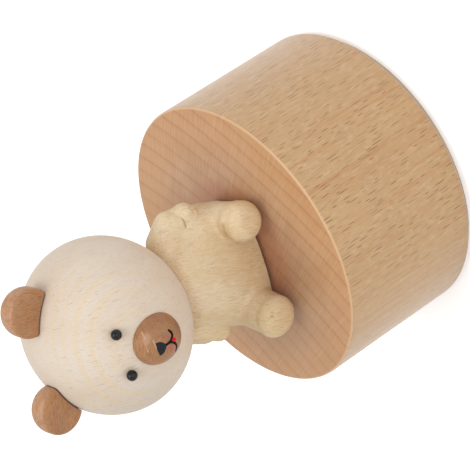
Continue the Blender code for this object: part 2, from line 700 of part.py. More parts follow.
def make_governor_frame():
    # A pressed frame: a top flange under the bedplate, a spine, and a foot under the worm.
    near, far = -BRACKET_HALF - SEAT_GAP, WORM_Y - GOVERNOR_REACH
    foot_bottom = WORM_FOOT_TOP - GOVERNOR_FOOT
    shoulder = DRUM_AXIS_Z + BEARING_EDGE
    narrow = IDLER_Y + PIVOT_RADIUS
    outline = [(near, UNDER_PLATE), (near, foot_bottom), (far, foot_bottom), (far, shoulder)]
    outline += [(narrow, shoulder), (narrow, UNDER_PLATE)]
    spine = cross_plate("governor_frame", outline, GOVERNOR_SPINE, GOVERNOR_RIGHT)
    frame = add_part("governor_frame", spine, "steel")
    inside = (GOVERNOR_SPINE + GOVERNOR_RIGHT) / 2
    flange_left = RIGHT_BRACKET_END + SEAT_GAP
    foot_left = WORM_X - GOVERNOR_REACH
    flange_bottom = UNDER_PLATE - BRACKET_THICKNESS
    flange = box("flange", (flange_left, far, flange_bottom), (inside, near, UNDER_PLATE))
    foot = box("foot", (foot_left, far, foot_bottom), (inside, WORM_Y + GOVERNOR_REACH, WORM_FOOT_TOP))
    for name, mesh in (("governor_flange", flange), ("governor_foot", foot)):
        combine(frame, add_object(name, mesh), "UNION")
    bore = PIVOT_RADIUS + RUN_GAP
    cut_rod(frame, bore, (WORM_X, WORM_Y, foot_bottom - MM), (WORM_X, WORM_Y, UNDER_PLATE + MM))
    outer, inner = GOVERNOR_RIGHT + MM, GOVERNOR_SPINE - MM
    cut_rod(frame, bore, (inner, IDLER_Y, DRUM_AXIS_Z), (outer, IDLER_Y, DRUM_AXIS_Z))
    screw = bracket_screw_places()[2]
    cut_rod(frame, SMALL_HOLE, screw, (screw.x, screw.y, PLATE_TOP))


# Pieces that turn with the figure

def crown_wheel_mesh():
    # A disc with teeth on its underside; a gap faces the drum gear at -X.
    bore = ARBOR_RADIUS + SEAT_GAP
    inner = CROWN_PITCH_RADIUS - CROWN_FACE / 2
    profile = [(bore, CROWN_BOTTOM), (inner, CROWN_BOTTOM), (CROWN_OUTER_RADIUS, CROWN_BOTTOM)]
    profile += [(CROWN_OUTER_RADIUS, CROWN_TOP), (bore, CROWN_TOP)]
    per_tooth = 3
    shape = turned_shape(profile, CROWN_TEETH * per_tooth)
    pitch = TURN / CROWN_TEETH
    lands = []
    for face in shape.faces:
        middle = face.calc_center_median()
        if face.normal.z > -0.9 or math.hypot(middle.x, middle.y) < inner:
            continue
        if math.floor(math.atan2(middle.y, middle.x) % TURN / (pitch / per_tooth)) % per_tooth == 0:
            lands.append(face)
    for tip in bmesh.ops.extrude_discrete_faces(shape, faces=lands)["faces"]:
        middle = tip.calc_center_median()
        across = Vector((-middle.y, middle.x, 0)).normalized()
        for corner in tip.verts:
            corner.co -= CROWN_TAPER * across * across.dot(corner.co - middle)
            corner.co.z = CROWN_TIP
    half_land = pitch / per_tooth / 2
    gap_at_left = math.pi - half_land - pitch / 2
    turn = Matrix.Rotation(gap_at_left, 3, "Z")
    bmesh.ops.rotate(shape, verts=shape.verts, cent=(0, 0, 0), matrix=turn)
    return to_mesh(shape, "drive_wheel")


def make_arbor(axis):
    clip_top = CROWN_BOTTOM - SEAT_GAP
    groove_low = clip_top - CLIP_THICKNESS - SEAT_GAP
    low = groove_low - CLIP_THICKNESS
    groove = ARBOR_RADIUS - GROOVE_DEPTH
    hub_low = BARREL_BOTTOM + BARREL_WALL + RUN_GAP
    hub_high = UNDER_PLATE - RUN_GAP
    shoulder = WOOD_TOP + FIGURE_GAP / 2
    profile = [
        (0, low),
        (ARBOR_RADIUS, low),
        (ARBOR_RADIUS, groove_low),
        (groove, groove_low),
        (groove, CROWN_BOTTOM),
        (ARBOR_RADIUS, CROWN_BOTTOM),
        (ARBOR_RADIUS, hub_low),
        (ARBOR_HUB_RADIUS, hub_low),
        (ARBOR_HUB_RADIUS, hub_high),
        (ARBOR_RADIUS, hub_high),
        (ARBOR_RADIUS, shoulder),
        (STUD_RADIUS, shoulder),
        (STUD_RADIUS, FIGURE_BOTTOM + STUD_LENGTH),
        (0, FIGURE_BOTTOM + STUD_LENGTH),
    ]
    add_part("winding_arbor", turned("winding_arbor", profile, ROD_SIDES), "steel", parent=axis)
    add_part("drive_wheel", crown_wheel_mesh(), "brass", parent=axis)

    bore = groove + SEAT_GAP
    ring = ring_profile(bore, bore + CLIP_RIM, clip_top - CLIP_THICKNESS, clip_top)
    clip_mesh = turned("retaining_clip", ring, ROD_SIDES)
    clip = add_part("retaining_clip", clip_mesh, "spring steel", parent=axis)
    mouth = box("clip_mouth", (0, -bore, low), (3 * bore, bore, CROWN_TOP))
    combine(clip, add_object("clip_mouth", mouth), "DIFFERENCE")

    sleeve = ring_profile(
        STUD_RADIUS + SEAT_GAP,
        STUD_RADIUS + SEAT_GAP + INSERT_WALL,
        FIGURE_BOTTOM + SEAT_GAP,
        FIGURE_BOTTOM + SEAT_GAP + INSERT_LENGTH,
    )
    add_part("bear_insert", turned("bear_insert", sleeve, ROD_SIDES), "brass", parent=axis)


# Drum and governor

def make_drum(axis):
    # Every piece is made along its own Z and laid along X.
    def lay(name, mesh, finish, left):
        add_part(name, mesh, finish, (left, 0, DRUM_AXIS_Z), ALONG_X, axis)

    length = DRUM_RIGHT - DRUM_LEFT
    bore = SHAFT_RADIUS + SEAT_GAP
    blank = add_object("drum_blank", turned("music_drum", ring_profile(bore, DRUM_RADIUS, 0, length)))
    pins = bmesh.new()
    for tooth in range(COMB_TEETH):
        along = COMB_LEFT - DRUM_LEFT + (tooth + 0.5) * COMB_PITCH
        for pin in range(PINS_PER_TOOTH):
            # The golden share spreads the pins, so that no two teeth sound together for long.
            turn = TURN * ((tooth * GOLDEN_SHARE + pin / PINS_PER_TOOTH + PIN_DRIFT * pin * tooth) % 1)
            middle = Matrix.Translation((DRUM_RADIUS + PIN_HEIGHT - PIN_LENGTH / 2, 0, along))
            bmesh.ops.create_cone(
                pins,
                cap_ends=True,
                segments=5,
                radius1=PIN_RADIUS,
                radius2=PIN_RADIUS,
                depth=PIN_LENGTH,
                matrix=Matrix.Rotation(turn, 4, "Z") @ middle @ Matrix.Rotation(math.pi / 2, 4, "Y"),
            )
    pin_mesh = bpy.data.meshes.new("drum_pins")
    pins.to_mesh(pin_mesh)
    pins.free()
    combine(blank, add_object("drum_pins", pin_mesh), "UNION")
    lay("music_drum", baked(blank, "music_drum"), "brass", DRUM_LEFT)

    shaft_left = LEFT_BRACKET - RUN_GAP
    shaft = rod_profile(SHAFT_RADIUS, 0, RIGHT_BRACKET_END + RUN_GAP - shaft_left)
    lay("drum_shaft", turned("drum_shaft", shaft, ROD_SIDES), "steel", shaft_left)
    up, toward_idler = math.pi, -math.pi / 2
    drive = gear("drum_gear", CROWN_MODULE, DRUM_GEAR_TEETH, up, DRUM_GEAR_WIDTH, bore)
    lay("drum_gear", drive, "nylon", GEAR_LEFT)
    end_wheel = gear("drum_end_wheel", TRAIN_MODULE, END_WHEEL_TEETH, toward_idler, TRAIN_WIDTH, bore)
    lay("drum_end_wheel", end_wheel, "brass", END_WHEEL_LEFT)


def make_idler(axis):
    left, right = RIGHT_BRACKET - RUN_GAP - TRAIN_WIDTH, GOVERNOR_RIGHT
    rod = turned("idler_shaft", rod_profile(PIVOT_RADIUS, 0, right - left), SMALL_SIDES)
    shaft = add_part("idler_shaft", rod, "steel", (left, IDLER_Y, DRUM_AXIS_Z), ALONG_X, axis)
    gap_toward_drum = math.pi / 2 + TURN / PINION_TEETH / 2
    outline = gear_outline(TRAIN_MODULE, PINION_TEETH, gap_toward_drum)
    pinion = add_object("pinion", plate("pinion", outline, 0, TRAIN_WIDTH), shaft.location, ALONG_X)
    combine(shaft, pinion, "UNION")
    toward_worm, bore = -math.pi / 2, PIVOT_RADIUS + SEAT_GAP
    wheel = gear("worm_wheel", WORM_MODULE, WORM_WHEEL_TEETH, toward_worm, TRAIN_WIDTH, bore)
    add_part("worm_wheel", wheel, "brass", (WORM_WHEEL_LEFT, IDLER_Y, DRUM_AXIS_Z), ALONG_X, axis)


def worm_thread_mesh():
    # One trapezoid ridge on a right-hand helix; a gap faces the worm wheel at +Y.
    steps_per_turn = 12
    core = WORM_RADIUS - 1.1 * WORM_MODULE
    foot = core - WORM_ROOT_OVERLAP
    tip = WORM_RADIUS + ADDENDUM * WORM_MODULE
    wide, narrow = TOOTH_FOOT_SHARE * WORM_LEAD, TOOTH_TIP_SHARE * WORM_LEAD
    section = ((foot, -wide), (tip, -narrow), (tip, narrow), (foot, wide))
    turns = WORM_TURNS - 1
    shape = bmesh.new()
    rows = []
    for step in range(turns * steps_per_turn + 1):
        angle = TURN * step / steps_per_turn
        height = WORM_LEAD * (angle / TURN - turns / 2)
        spin = angle + math.pi / 2 + TURN * ((turns + 1) % 2) / 2
        across, along = math.cos(spin), math.sin(spin)
        rows.append([shape.verts.new((r * across, r * along, height + dz)) for r, dz in section])
    for row, following in zip(rows, rows[1:]):
        for side in range(4):
            shape.faces.new((row[side], row[side - 1], following[side - 1], following[side]))
    shape.faces.new(rows[0])
    shape.faces.new(rows[-1])
    return to_mesh(shape, "worm_thread"), core


def make_governor(axis):
    thread, core = worm_thread_mesh()
    half = WORM_LEAD * WORM_TURNS / 2
    place = (WORM_X, WORM_Y, DRUM_AXIS_Z)
    low = WORM_FOOT_TOP - GOVERNOR_FOOT - DRUM_AXIS_Z
    high = UNDER_PLATE - RUN_GAP - DRUM_AXIS_Z
    profile = [(0, low), (PIVOT_RADIUS, low), (PIVOT_RADIUS, -half), (core, -half), (core, half)]
    profile += [(PIVOT_RADIUS, half), (PIVOT_RADIUS, high), (0, high)]
    core_mesh = turned("governor_worm", profile, 12)
    worm = add_part("governor_worm", core_mesh, "steel", place, parent=axis)
    combine(worm, add_object("worm_thread", thread, place), "UNION")

    bore = PIVOT_RADIUS + SEAT_GAP
    hub = ring_profile(bore, bore + FAN_HUB_WALL, 0, FAN_HEIGHT)
    fan_place = (WORM_X, WORM_Y, FAN_BOTTOM)
    fan_mesh = turned("governor_fan", hub, ROD_SIDES)
    fan = add_part("governor_fan", fan_mesh, "nylon", fan_place, parent=axis)
    for side in (-1, 1):
        reach = sorted((side * (bore + FAN_HUB_WALL / 2), side * FAN_RADIUS))
        low_corner = (reach[0], -FAN_THICKNESS / 2, 0.1 * FAN_HEIGHT)
        high_corner = (reach[1], FAN_THICKNESS / 2, 0.9 * FAN_HEIGHT)
        wing = add_object("fan_wing", box("fan_wing", low_corner, high_corner), fan_place)
        combine(fan, wing, "UNION")


# Bear

def ball_shape(shape, centre, size, sides):
    placed = Matrix.Translation(centre) @ Matrix.Diagonal((*size, 1))
    bmesh.ops.create_uvsphere(shape, u_segments=sides, v_segments=sides // 2, radius=1, matrix=placed)


def ball(name, centre, size, sides):
    shape = bmesh.new()
    ball_shape(shape, centre, size, sides)
    return to_mesh(shape, name)


def head_cutter(name, grow):
    size = HEAD_SIZE + Vector((grow, grow, grow))
    return add_object(name, ball(name, HEAD_CENTRE, size, HEAD_SIDES))


def egg_shape(shape, centre, size, squareness, sides):
    # An egg shape, squarer as the squareness grows past two.
    made = bmesh.ops.create_uvsphere(shape, u_segments=sides, v_segments=sides // 2, radius=1)
    for vert in made["verts"]:
        reach = sum(abs(part) ** squareness for part in vert.co) ** (1 / squareness)
        vert.co = centre + Vector([part * half / reach for part, half in zip(vert.co, size)])


def limb(shape, start, end, start_radius, end_radius):
    # A row of balls, close enough to melt into one limb.
    start, end = Vector(start), Vector(end)
    count = 6
    for step in range(count):
        share = step / (count - 1)
        radius = start_radius + (end_radius - start_radius) * share
        ball_shape(shape, start.lerp(end, share), (radius, radius, radius), 14)


def on_body(x, y, height):
    # The carved figure leans a little to its left; height is measured from the figure's underside.
    return Vector((x + LEAN * height, y, FIGURE_BOTTOM + height))


def make_body(axis):
    # Torso, arms and legs are melted into one carved shape.
    shape = bmesh.new()
    lumps = (
        (0, TORSO_CENTRE, TORSO_HALF_WIDTH, TORSO_HALF_DEPTH, TORSO_HALF_HEIGHT, TORSO_SQUARENESS),
        (-HIPS_SHIFT, HIPS_CENTRE, HIPS_HALF_WIDTH, HIPS_HALF_DEPTH, HIPS_HALF_HEIGHT, HIPS_SQUARENESS),
        (0, CHEST_CENTRE, CHEST_HALF_WIDTH, CHEST_HALF_DEPTH, CHEST_HALF_HEIGHT, CHEST_SQUARENESS),
    )
    for across, height, *size, squareness in lumps:
        egg_shape(shape, on_body(across, 0, height), size, squareness, WHEEL_SIDES)
    arms = ((LEFT_ARM_TOP, LEFT_ELBOW, LEFT_PAW), (RIGHT_ARM_TOP, RIGHT_ELBOW, RIGHT_PAW))
    for arm in arms:
        shoulder, elbow, paw = [on_body(*spot) for spot in arm]
        limb(shape, shoulder, elbow, ARM_RADIUS, ARM_RADIUS)
        limb(shape, elbow, paw, ARM_RADIUS, PAW_RADIUS)
    legs = ((LEFT_HIP, LEFT_FOOT, LEFT_REACH), (RIGHT_HIP, RIGHT_FOOT, RIGHT_REACH))
    for hip_x, foot_x, reach in legs:
        hip = on_body(hip_x, -HIP_FORWARD, LEG_RADIUS - LEG_SINK)
        foot = on_body(foot_x, LEG_RADIUS - reach, LEG_RADIUS - LEG_SINK)
        limb(shape, hip, foot, LEG_RADIUS, LEG_RADIUS)
    body = add_part("bear_body", to_mesh(shape, "bear_body"), "carved", parent=axis)
    melt = body.modifiers.new("melt", "REMESH")
    melt.mode = "VOXEL"
    melt.voxel_size = BODY_VOXEL
    melt.use_smooth_shade = True
    soften = body.modifiers.new("soften", "SMOOTH")
    soften.factor = 0.5
    soften.iterations = 2

    span = BASE_RADIUS
    below = box("body_floor", (-span, -span, WOOD_TOP - span), (span, span, FIGURE_BOTTOM))
    combine(body, add_object("body_floor", below), "DIFFERENCE")
    combine(body, head_cutter("body_head_seat", SEAT_GAP), "DIFFERENCE")
    sleeve = STUD_RADIUS + SEAT_GAP + INSERT_WALL + SEAT_GAP
    sleeve_top = FIGURE_BOTTOM + INSERT_LENGTH + 3 * SEAT_GAP
    cut_rod(body, sleeve, (0, 0, WOOD_TOP), (0, 0, sleeve_top), ROD_SIDES)
    cut_rod(body, DOWEL_RADIUS + SEAT_GAP, *dowel_ends(SEAT_GAP), ROD_SIDES)


def dowel_ends(grow):
    low = HEAD_CENTRE.copy()
    low.z = HEAD_BOTTOM - DOWEL_IN_BODY - grow
    high = HEAD_CENTRE.copy()
    high.z = HEAD_BOTTOM + DOWEL_IN_HEAD + grow
    return low, high


def from_head(azimuth, elevation):
    # Azimuth 0 is the front of the face, and it grows to the bear's left, +X.
    across, up = math.radians(azimuth + HEAD_TURN), math.radians(elevation)
    return Vector((math.sin(across) * math.cos(up), -math.cos(across) * math.cos(up), math.sin(up)))


def make_head(axis):
    globe = ball("bear_head", HEAD_CENTRE, HEAD_SIZE, HEAD_SIDES)
    head = add_part("bear_head", globe, "maple", parent=axis)
    cut_rod(head, DOWEL_RADIUS + SEAT_GAP, *dowel_ends(SEAT_GAP), ROD_SIDES)
    low, high = dowel_ends(0)
    dowel = turned("neck_dowel", rod_profile(DOWEL_RADIUS, 0, high.z - low.z), ROD_SIDES)
    add_part("neck_dowel", dowel, "beech", low, parent=axis)

    for side, name, azimuth in ((1, "left", LEFT_EYE_AZIMUTH), (-1, "right", RIGHT_EYE_AZIMUTH)):
        direction = from_head(azimuth, EYE_ELEVATION)
        surface = Vector([d * s for d, s in zip(direction, HEAD_SIZE)]).length
        spot = HEAD_CENTRE + direction * surface
        deep = spot - direction * (EYE_PIN_LENGTH + SEAT_GAP)
        cut_rod(head, EYE_PIN + SEAT_GAP, deep, spot + direction * EYE_RADIUS)
        facing = direction.to_track_quat("Z", "Y").to_euler()
        add_part(f"eye_{name}", eye_mesh(f"eye_{name}"), "bead", spot, facing, axis)

        roll = Matrix.Rotation(math.radians(HEAD_ROLL), 3, "Y")
        place = HEAD_CENTRE + roll @ Vector((side * EAR_SIDE, EAR_BACK, EAR_RISE))
        ear = ear_mesh(f"ear_{name}")
        ear_part = add_part(f"ear_{name}", ear, "brown wood", place, (math.pi / 2, 0, 0), axis)
        combine(ear_part, head_cutter(f"ear_{name}_seat", SEAT_GAP), "DIFFERENCE")

    direction = from_head(0, MUZZLE_ELEVATION)
    centre = HEAD_CENTRE + direction * MUZZLE_SEAT
    dome = ball("muzzle", (0, 0, 0), (MUZZLE_HALF_WIDTH, MUZZLE_RADIUS, MUZZLE_HALF_HEIGHT), 24)
    muzzle = add_part("muzzle", dome, "brown wood", centre, parent=axis)
    combine(muzzle, head_cutter("muzzle_seat", SEAT_GAP), "DIFFERENCE")


def eye_mesh(name):
    # A bead that stands just off the head, on a pin.
    centre = EYE_RISE + SEAT_GAP
    profile = [(0, -EYE_PIN_LENGTH), (EYE_PIN, -EYE_PIN_LENGTH), (EYE_PIN, centre - EYE_RISE)]
    start = -math.asin(0.4 * EYE_RISE / EYE_RADIUS)
    count = 4
    for step in range(count + 1):
        angle = start + (math.pi / 2 - start) * step / count
        profile.append((EYE_RADIUS * math.cos(angle), centre + EYE_RADIUS * math.sin(angle)))
    profile[-1] = (0, centre + EYE_RADIUS)
    return turned(name, profile, 12)


def ear_mesh(name):
    # A button with a flat front, an eased front edge and a domed back.
    profile = [(0, -EAR_DOME)]
    for ease, level, start in ((EAR_DOME, 0, -90), (EAR_EDGE, EAR_FRONT - EAR_EDGE, 0)):
        for step in range(4):
            angle = math.radians(start + 30 * step)
            radius = EAR_RADIUS - ease + ease * math.cos(angle)
            profile.append((radius, level + ease * math.sin(angle)))
    profile.append((0, EAR_FRONT))
    return turned(name, profile, 22)


def main():
    for obj in list(bpy.data.objects):
        bpy.data.objects.remove(obj)
    make_base()
    make_bedplate()
    make_barrel()
    make_bush()
    make_comb()
    make_brackets()
    make_governor_frame()
    figure_axis = add_axis("figure_axis", (0, 0, WOOD_TOP))
    make_arbor(figure_axis)
    make_body(figure_axis)
    make_head(figure_axis)
    make_drum(add_axis("drum_axis", (DRUM_LEFT, 0, DRUM_AXIS_Z), ALONG_X))
    make_idler(add_axis("idler_axis", (WORM_WHEEL_LEFT, IDLER_Y, DRUM_AXIS_Z), ALONG_X))
    make_governor(add_axis("governor_axis", (WORM_X, WORM_Y, DRUM_AXIS_Z)))


main()
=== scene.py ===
import json
import math

import bmesh
import bpy
import numpy as np
from mathutils import Matrix, Vector


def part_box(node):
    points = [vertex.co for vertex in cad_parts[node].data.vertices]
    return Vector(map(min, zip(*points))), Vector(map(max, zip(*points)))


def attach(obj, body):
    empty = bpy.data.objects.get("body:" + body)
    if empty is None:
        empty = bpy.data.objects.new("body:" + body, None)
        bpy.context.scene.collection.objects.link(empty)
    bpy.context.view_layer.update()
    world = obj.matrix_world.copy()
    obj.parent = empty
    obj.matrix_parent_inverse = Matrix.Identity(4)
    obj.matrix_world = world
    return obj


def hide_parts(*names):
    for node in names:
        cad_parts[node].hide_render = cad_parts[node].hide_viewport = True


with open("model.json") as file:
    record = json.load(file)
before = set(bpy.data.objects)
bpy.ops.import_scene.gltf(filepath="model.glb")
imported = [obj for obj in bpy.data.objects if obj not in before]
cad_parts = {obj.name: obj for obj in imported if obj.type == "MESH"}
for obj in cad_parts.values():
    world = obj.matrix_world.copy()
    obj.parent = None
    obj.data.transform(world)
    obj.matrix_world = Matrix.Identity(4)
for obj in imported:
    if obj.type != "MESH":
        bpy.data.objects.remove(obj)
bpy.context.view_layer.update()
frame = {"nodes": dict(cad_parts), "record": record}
nodes = frame["nodes"]

# Everything below is measured in millimetres and scaled when a mesh is made.
# The bear looks along -Y, its left hand is on +X, and +Z is up.
mm = 0.001
# edges sharper than this, in degrees, stay crisp
sharpAngle = 38


# Small helpers for shader trees

def paint(red, green, blue):
    # a colour as the screen shows it, 0 to 255
    tone = [c / 255 for c in (red, green, blue)]
    return [c / 12.92 if c <= 0.04045 else ((c + 0.055) / 1.055) ** 2.4 for c in tone] + [1.0]


def put(tree, kind, **settings):
    node = tree.nodes.new("ShaderNode" + kind)
    for key, value in settings.items():
        setattr(node, key, value)
    return node


def feed(socket, value):
    if isinstance(value, bpy.types.NodeSocket):
        socket.id_data.links.new(value, socket)
    else:
        socket.default_value = value


def fill(sockets, values):
    for label, value in values.items():
        feed(sockets[label], value)


def follow(kind, values, slots=range(9), **settings):
    # a node that stands in the same tree as the sockets that feed it
    tree = next(value.id_data for value in values if isinstance(value, bpy.types.NodeSocket))
    node = put(tree, kind, **settings)
    fill(node.inputs, dict(zip(slots, values)))
    return node.outputs


def calc(operation, *values):
    return follow("Math", values, operation=operation)[0]


def times(first, second):
    return calc("MULTIPLY", first, second)


def calcVector(operation, *values):
    found = follow("VectorMath", values, operation=operation)
    return found["Value" if operation in ("LENGTH", "DOT_PRODUCT") else "Vector"]


def scaleBy(vector, amount):
    return follow("VectorMath", (vector, amount), (0, 3), operation="SCALE")[0]


def pack(*values):
    return follow("CombineXYZ", values)[0]


def unpack(value):
    return follow("SeparateXYZ", [value])


def fade(value, start, end, low=0.0, high=1.0):
    return follow("MapRange", (value, start, end, low, high), interpolation_type="SMOOTHSTEP")[0]


def blend(share, first, second):
    # mixes two colours
    return follow("Mix", (share, first, second), (0, 6, 7), data_type="RGBA")[2]


def noise(place, scale, detail=2.0, rough=0.5):
    # scale is a triple, in waves per mm along X, Y and Z
    stretched = calcVector("MULTIPLY", place, scale)
    labels = ("Vector", "Scale", "Detail", "Roughness")
    return follow("TexNoise", (stretched, 1.0, detail, rough), labels)["Fac"]


def newGroup(name, wanted, given):
    tree = bpy.data.node_groups.new(name, "ShaderNodeTree")
    for label, value in {"Place": (0.0, 0.0, 0.0), **wanted}.items():
        kind = "NodeSocketVector" if isinstance(value, tuple) else "NodeSocketFloat"
        socket = tree.interface.new_socket(label, in_out="INPUT", socket_type=kind)
        socket.default_value = value
    for label in given:
        tree.interface.new_socket(label, in_out="OUTPUT", socket_type="NodeSocketFloat")
    return tree, tree.nodes.new("NodeGroupInput").outputs, tree.nodes.new("NodeGroupOutput").inputs


def useGroup(group, place, values):
    node = put(place.id_data, "Group", node_tree=group)
    fill(node.inputs, {"Place": place, **values})
    return node.outputs


def newMaterial(name):
    material = bpy.data.materials.new(name)
    material.use_nodes = True
    return material, material.node_tree, material.node_tree.nodes["Principled BSDF"].inputs


def addBump(sockets, height, strength, depth):
    bump = put(height.id_data, "Bump")
    fill(bump.inputs, {"Strength": strength, "Distance": depth * mm, "Height": height})
    feed(sockets["Normal"], bump.outputs[0])


def ownPlace(tree):
    # the object's own coordinates in mm, so a pattern turns with its piece
    spot = put(tree, "TexCoord").outputs["Object"]
    return calcVector("MULTIPLY", spot, [1 / mm] * 3)


def timberPlace(tree, wood):
    # turns them so that the fibre runs along Z and X leads away from the pith
    along = Vector(wood["fibre"]).normalized()
    outward = Vector(wood["outward"])
    outward = (outward - along * outward.dot(along)).normalized()
    turn = Matrix((outward, along.cross(outward), along))
    mapping = put(tree, "Mapping", vector_type="POINT")
    fill(mapping.inputs, {
        "Vector": put(tree, "TexCoord").outputs["Object"],
        "Scale": [1 / mm] * 3,
        "Rotation": turn.to_euler(),
        "Location": Vector((wood["pith"], 0, 0)) - turn @ Vector(wood["middle"]),
    })
    return mapping.outputs[0]


def toward(tree, way):
    # how squarely the surface faces along a direction
    return calcVector("DOT_PRODUCT", put(tree, "TexCoord").outputs["Normal"], tuple(way))


def endGrain(tree, fibre, start=0.55, end=0.9):
    # 1 where the surface is cut across the fibre
    return fade(calc("ABSOLUTE", toward(tree, Vector(fibre).normalized())), start, end)


def towardPith(tree, outward, low):
    # 1 where the surface faces the pith and cuts the rays across, low where they lie flat in it
    share = toward(tree, Vector(outward).normalized())
    return fade(calc("ABSOLUTE", share), 0.2, 0.6, low, 1.0)


# Shader groups that several finishes share

def makeTimberFigure():
    tree, given, out = newGroup(
        "timberFigure",
        {
            "First Year": 0.0,
            "Year Width": 4.0,
            "Wander": 1.0,
            "Line Width": 0.08,
            "Ray Cell": (0.8, 5.0, 3.6),
            "Ray Width": 0.11,
            "Ray Share": 0.5,
            "Fibre Width": 0.3,
            "Turn Radius": 100.0,
        },
        ("Line", "Season", "Year Tone", "Ray", "Ray Tone", "Hatch", "Fibre", "Cloud", "Mottle", "Crowd"),
    )
    place = given["Place"]
    x, y, z = unpack(place)
    flat = calcVector("MULTIPLY", place, (1.0, 1.0, 0.0))
    reach = calcVector("LENGTH", flat)

    # year rings, with a slow wander
    drift = calc("SUBTRACT", noise(place, (0.05, 0.05, 0.012)), 0.5)
    ripple = calc("SUBTRACT", noise(place, (0.4, 0.4, 0.05), 1.0), 0.5)
    drift = calc("ADD", drift, times(ripple, 0.08))
    moved = calc("ADD", reach, times(drift, given["Wander"]))
    years = calc("DIVIDE", calc("SUBTRACT", moved, given["First Year"]), given["Year Width"])
    part = calc("FRACT", calc("ADD", years, 0.5))
    gap = calc("ABSOLUTE", calc("SUBTRACT", part, 0.5))
    feed(out["Line"], fade(gap, given["Line Width"], 0.0))
    before = calc("LESS_THAN", part, 0.5)
    feed(out["Season"], times(fade(part, 0.0, 0.5), before))
    whole = calc("FLOOR", calc("ADD", years, 0.5))
    feed(out["Year Tone"], follow("TexWhiteNoise", [whole], ["W"], noise_dimensions="1D")["Value"])

    # rays: thin spindles along the fibre, staggered in columns that face the pith
    turned = times(calc("ARCTAN2", y, x), given["Turn Radius"])
    spot = pack(turned, reach, z)
    cell = unpack(calcVector("DIVIDE", spot, given["Ray Cell"]))
    column = calc("FLOOR", cell[0])
    layer = calc("FLOOR", cell[1])
    shift = follow("TexWhiteNoise", [pack(column, layer, 0.0)], noise_dimensions="2D")["Value"]
    height = calc("ADD", cell[2], times(shift, 9.0))
    row = calc("FLOOR", height)
    dice = follow("TexWhiteNoise", [pack(column, row, layer)], noise_dimensions="3D")
    tones = follow("SeparateColor", [dice["Color"]])
    across = fade(tones[0], 0.0, 1.0, 0.25, 0.75)
    along = fade(tones[1], 0.0, 1.0, 0.42, 0.58)
    aside = calc("SUBTRACT", calc("FRACT", cell[0]), across)
    above = calc("SUBTRACT", calc("FRACT", height), along)
    aside = calc("DIVIDE", times(aside, unpack(given["Ray Cell"])[0]), given["Ray Width"])
    above = calc("DIVIDE", above, fade(dice["Value"], 0.0, 1.0, 0.15, 0.42))
    away = calc("ADD", times(aside, aside), times(above, above))
    there = calc("LESS_THAN", tones[2], given["Ray Share"])
    feed(out["Ray"], times(fade(away, 1.15, 0.35), there))
    feed(out["Ray Tone"], calc("DIVIDE", tones[2], given["Ray Share"]))
    feed(out["Hatch"], noise(spot, (4.2, 0.12, 0.5), 2.0, 0.6))

    # fine fibre, soft clouds, small mottling and short thin dashes
    thin = scaleBy(place, calc("DIVIDE", 1.0, given["Fibre Width"]))
    feed(out["Fibre"], noise(thin, (1.0, 1.0, 0.09), 3.0, 0.6))
    feed(out["Cloud"], noise(place, (0.09, 0.09, 0.03), 3.0, 0.55))
    feed(out["Mottle"], noise(place, (0.9, 0.9, 0.4), 3.0, 0.7))
    feed(out["Crowd"], fade(noise(place, (0.14, 0.14, 0.08)), 0.35, 0.6))
    return tree


def makeMetalMarks():
    tree, given, out = newGroup(
        "metalMarks",
        {"Brush": (0.6, 0.6, 6.0)},
        ("Brush Lines", "Smudge", "Speck"),
    )
    place = given["Place"]
    stretched = calcVector("MULTIPLY", place, given["Brush"])
    feed(out["Brush Lines"], noise(stretched, (1.0, 1.0, 1.0), 3.0, 0.6))
    feed(out["Smudge"], noise(place, (0.16, 0.16, 0.16)))
    feed(out["Speck"], fade(noise(place, (1.7, 1.7, 1.7)), 0.62, 0.72))
    return tree


def makeStrokeMark():
    # a soft mark along a straight stroke, in the piece's own millimetres
    tree, given, out = newGroup(
        "strokeMark",
        {"Start": (0.0, 0.0, 0.0), "End": (1.0, 0.0, 0.0), "Width": 1.0},
        ("Mark",),
    )
    way = calcVector("SUBTRACT", given["End"], given["Start"])
    away = calcVector("SUBTRACT", given["Place"], given["Start"])
    longest = calc("MAXIMUM", calcVector("DOT_PRODUCT", way, way), 0.001)
    share = calc("DIVIDE", calcVector("DOT_PRODUCT", away, way), longest)
    share.node.use_clamp = True
    gap = calcVector("LENGTH", calcVector("SUBTRACT", away, scaleBy(way, share)))
    feed(out["Mark"], fade(gap, given["Width"], times(given["Width"], 0.15)))
    return tree


timberFigure = makeTimberFigure()
strokeMark = makeStrokeMark()
metalMarks = makeMetalMarks()


# Steps that the wooden finishes share

def newWood(name, wood):
    material, tree, sockets = newMaterial(name)
    return material, tree, sockets, useGroup(timberFigure, timberPlace(tree, wood), wood["figure"])


def tint(colour, mask, start, full, most, shade):
    # lays a shade over the colour where the mask is strong
    return blend(fade(mask, start, full, 0.0, most), colour, shade)


def stain(colour, figure, wood):
    for mask, shade, *span in wood["stains"]:
        if len(span) == 1:
            colour = blend(times(figure[mask], *span), colour, wood[shade])
        else:
            colour = tint(colour, figure[mask], *span, wood[shade])
    return colour


def yearLines(figure, faint, bold):
    # ring lines, each year with a strength of its own
    return times(figure["Line"], fade(figure["Year Tone"], 0.0, 1.0, faint, bold))


def rayMarks(tree, figure, wood):
    # rays: faintest and darkest, how thin they are where few stand, and how faint where they lie flat
    faint, bold, sparse, flat = wood["rays"]
    rays = times(figure["Ray"], fade(figure["Ray Tone"], 0.0, 1.0, faint, bold))
    rays = times(rays, fade(figure["Crowd"], 0.0, 1.0, sparse, 1.0))
    return times(rays, towardPith(tree, wood["outward"], flat))


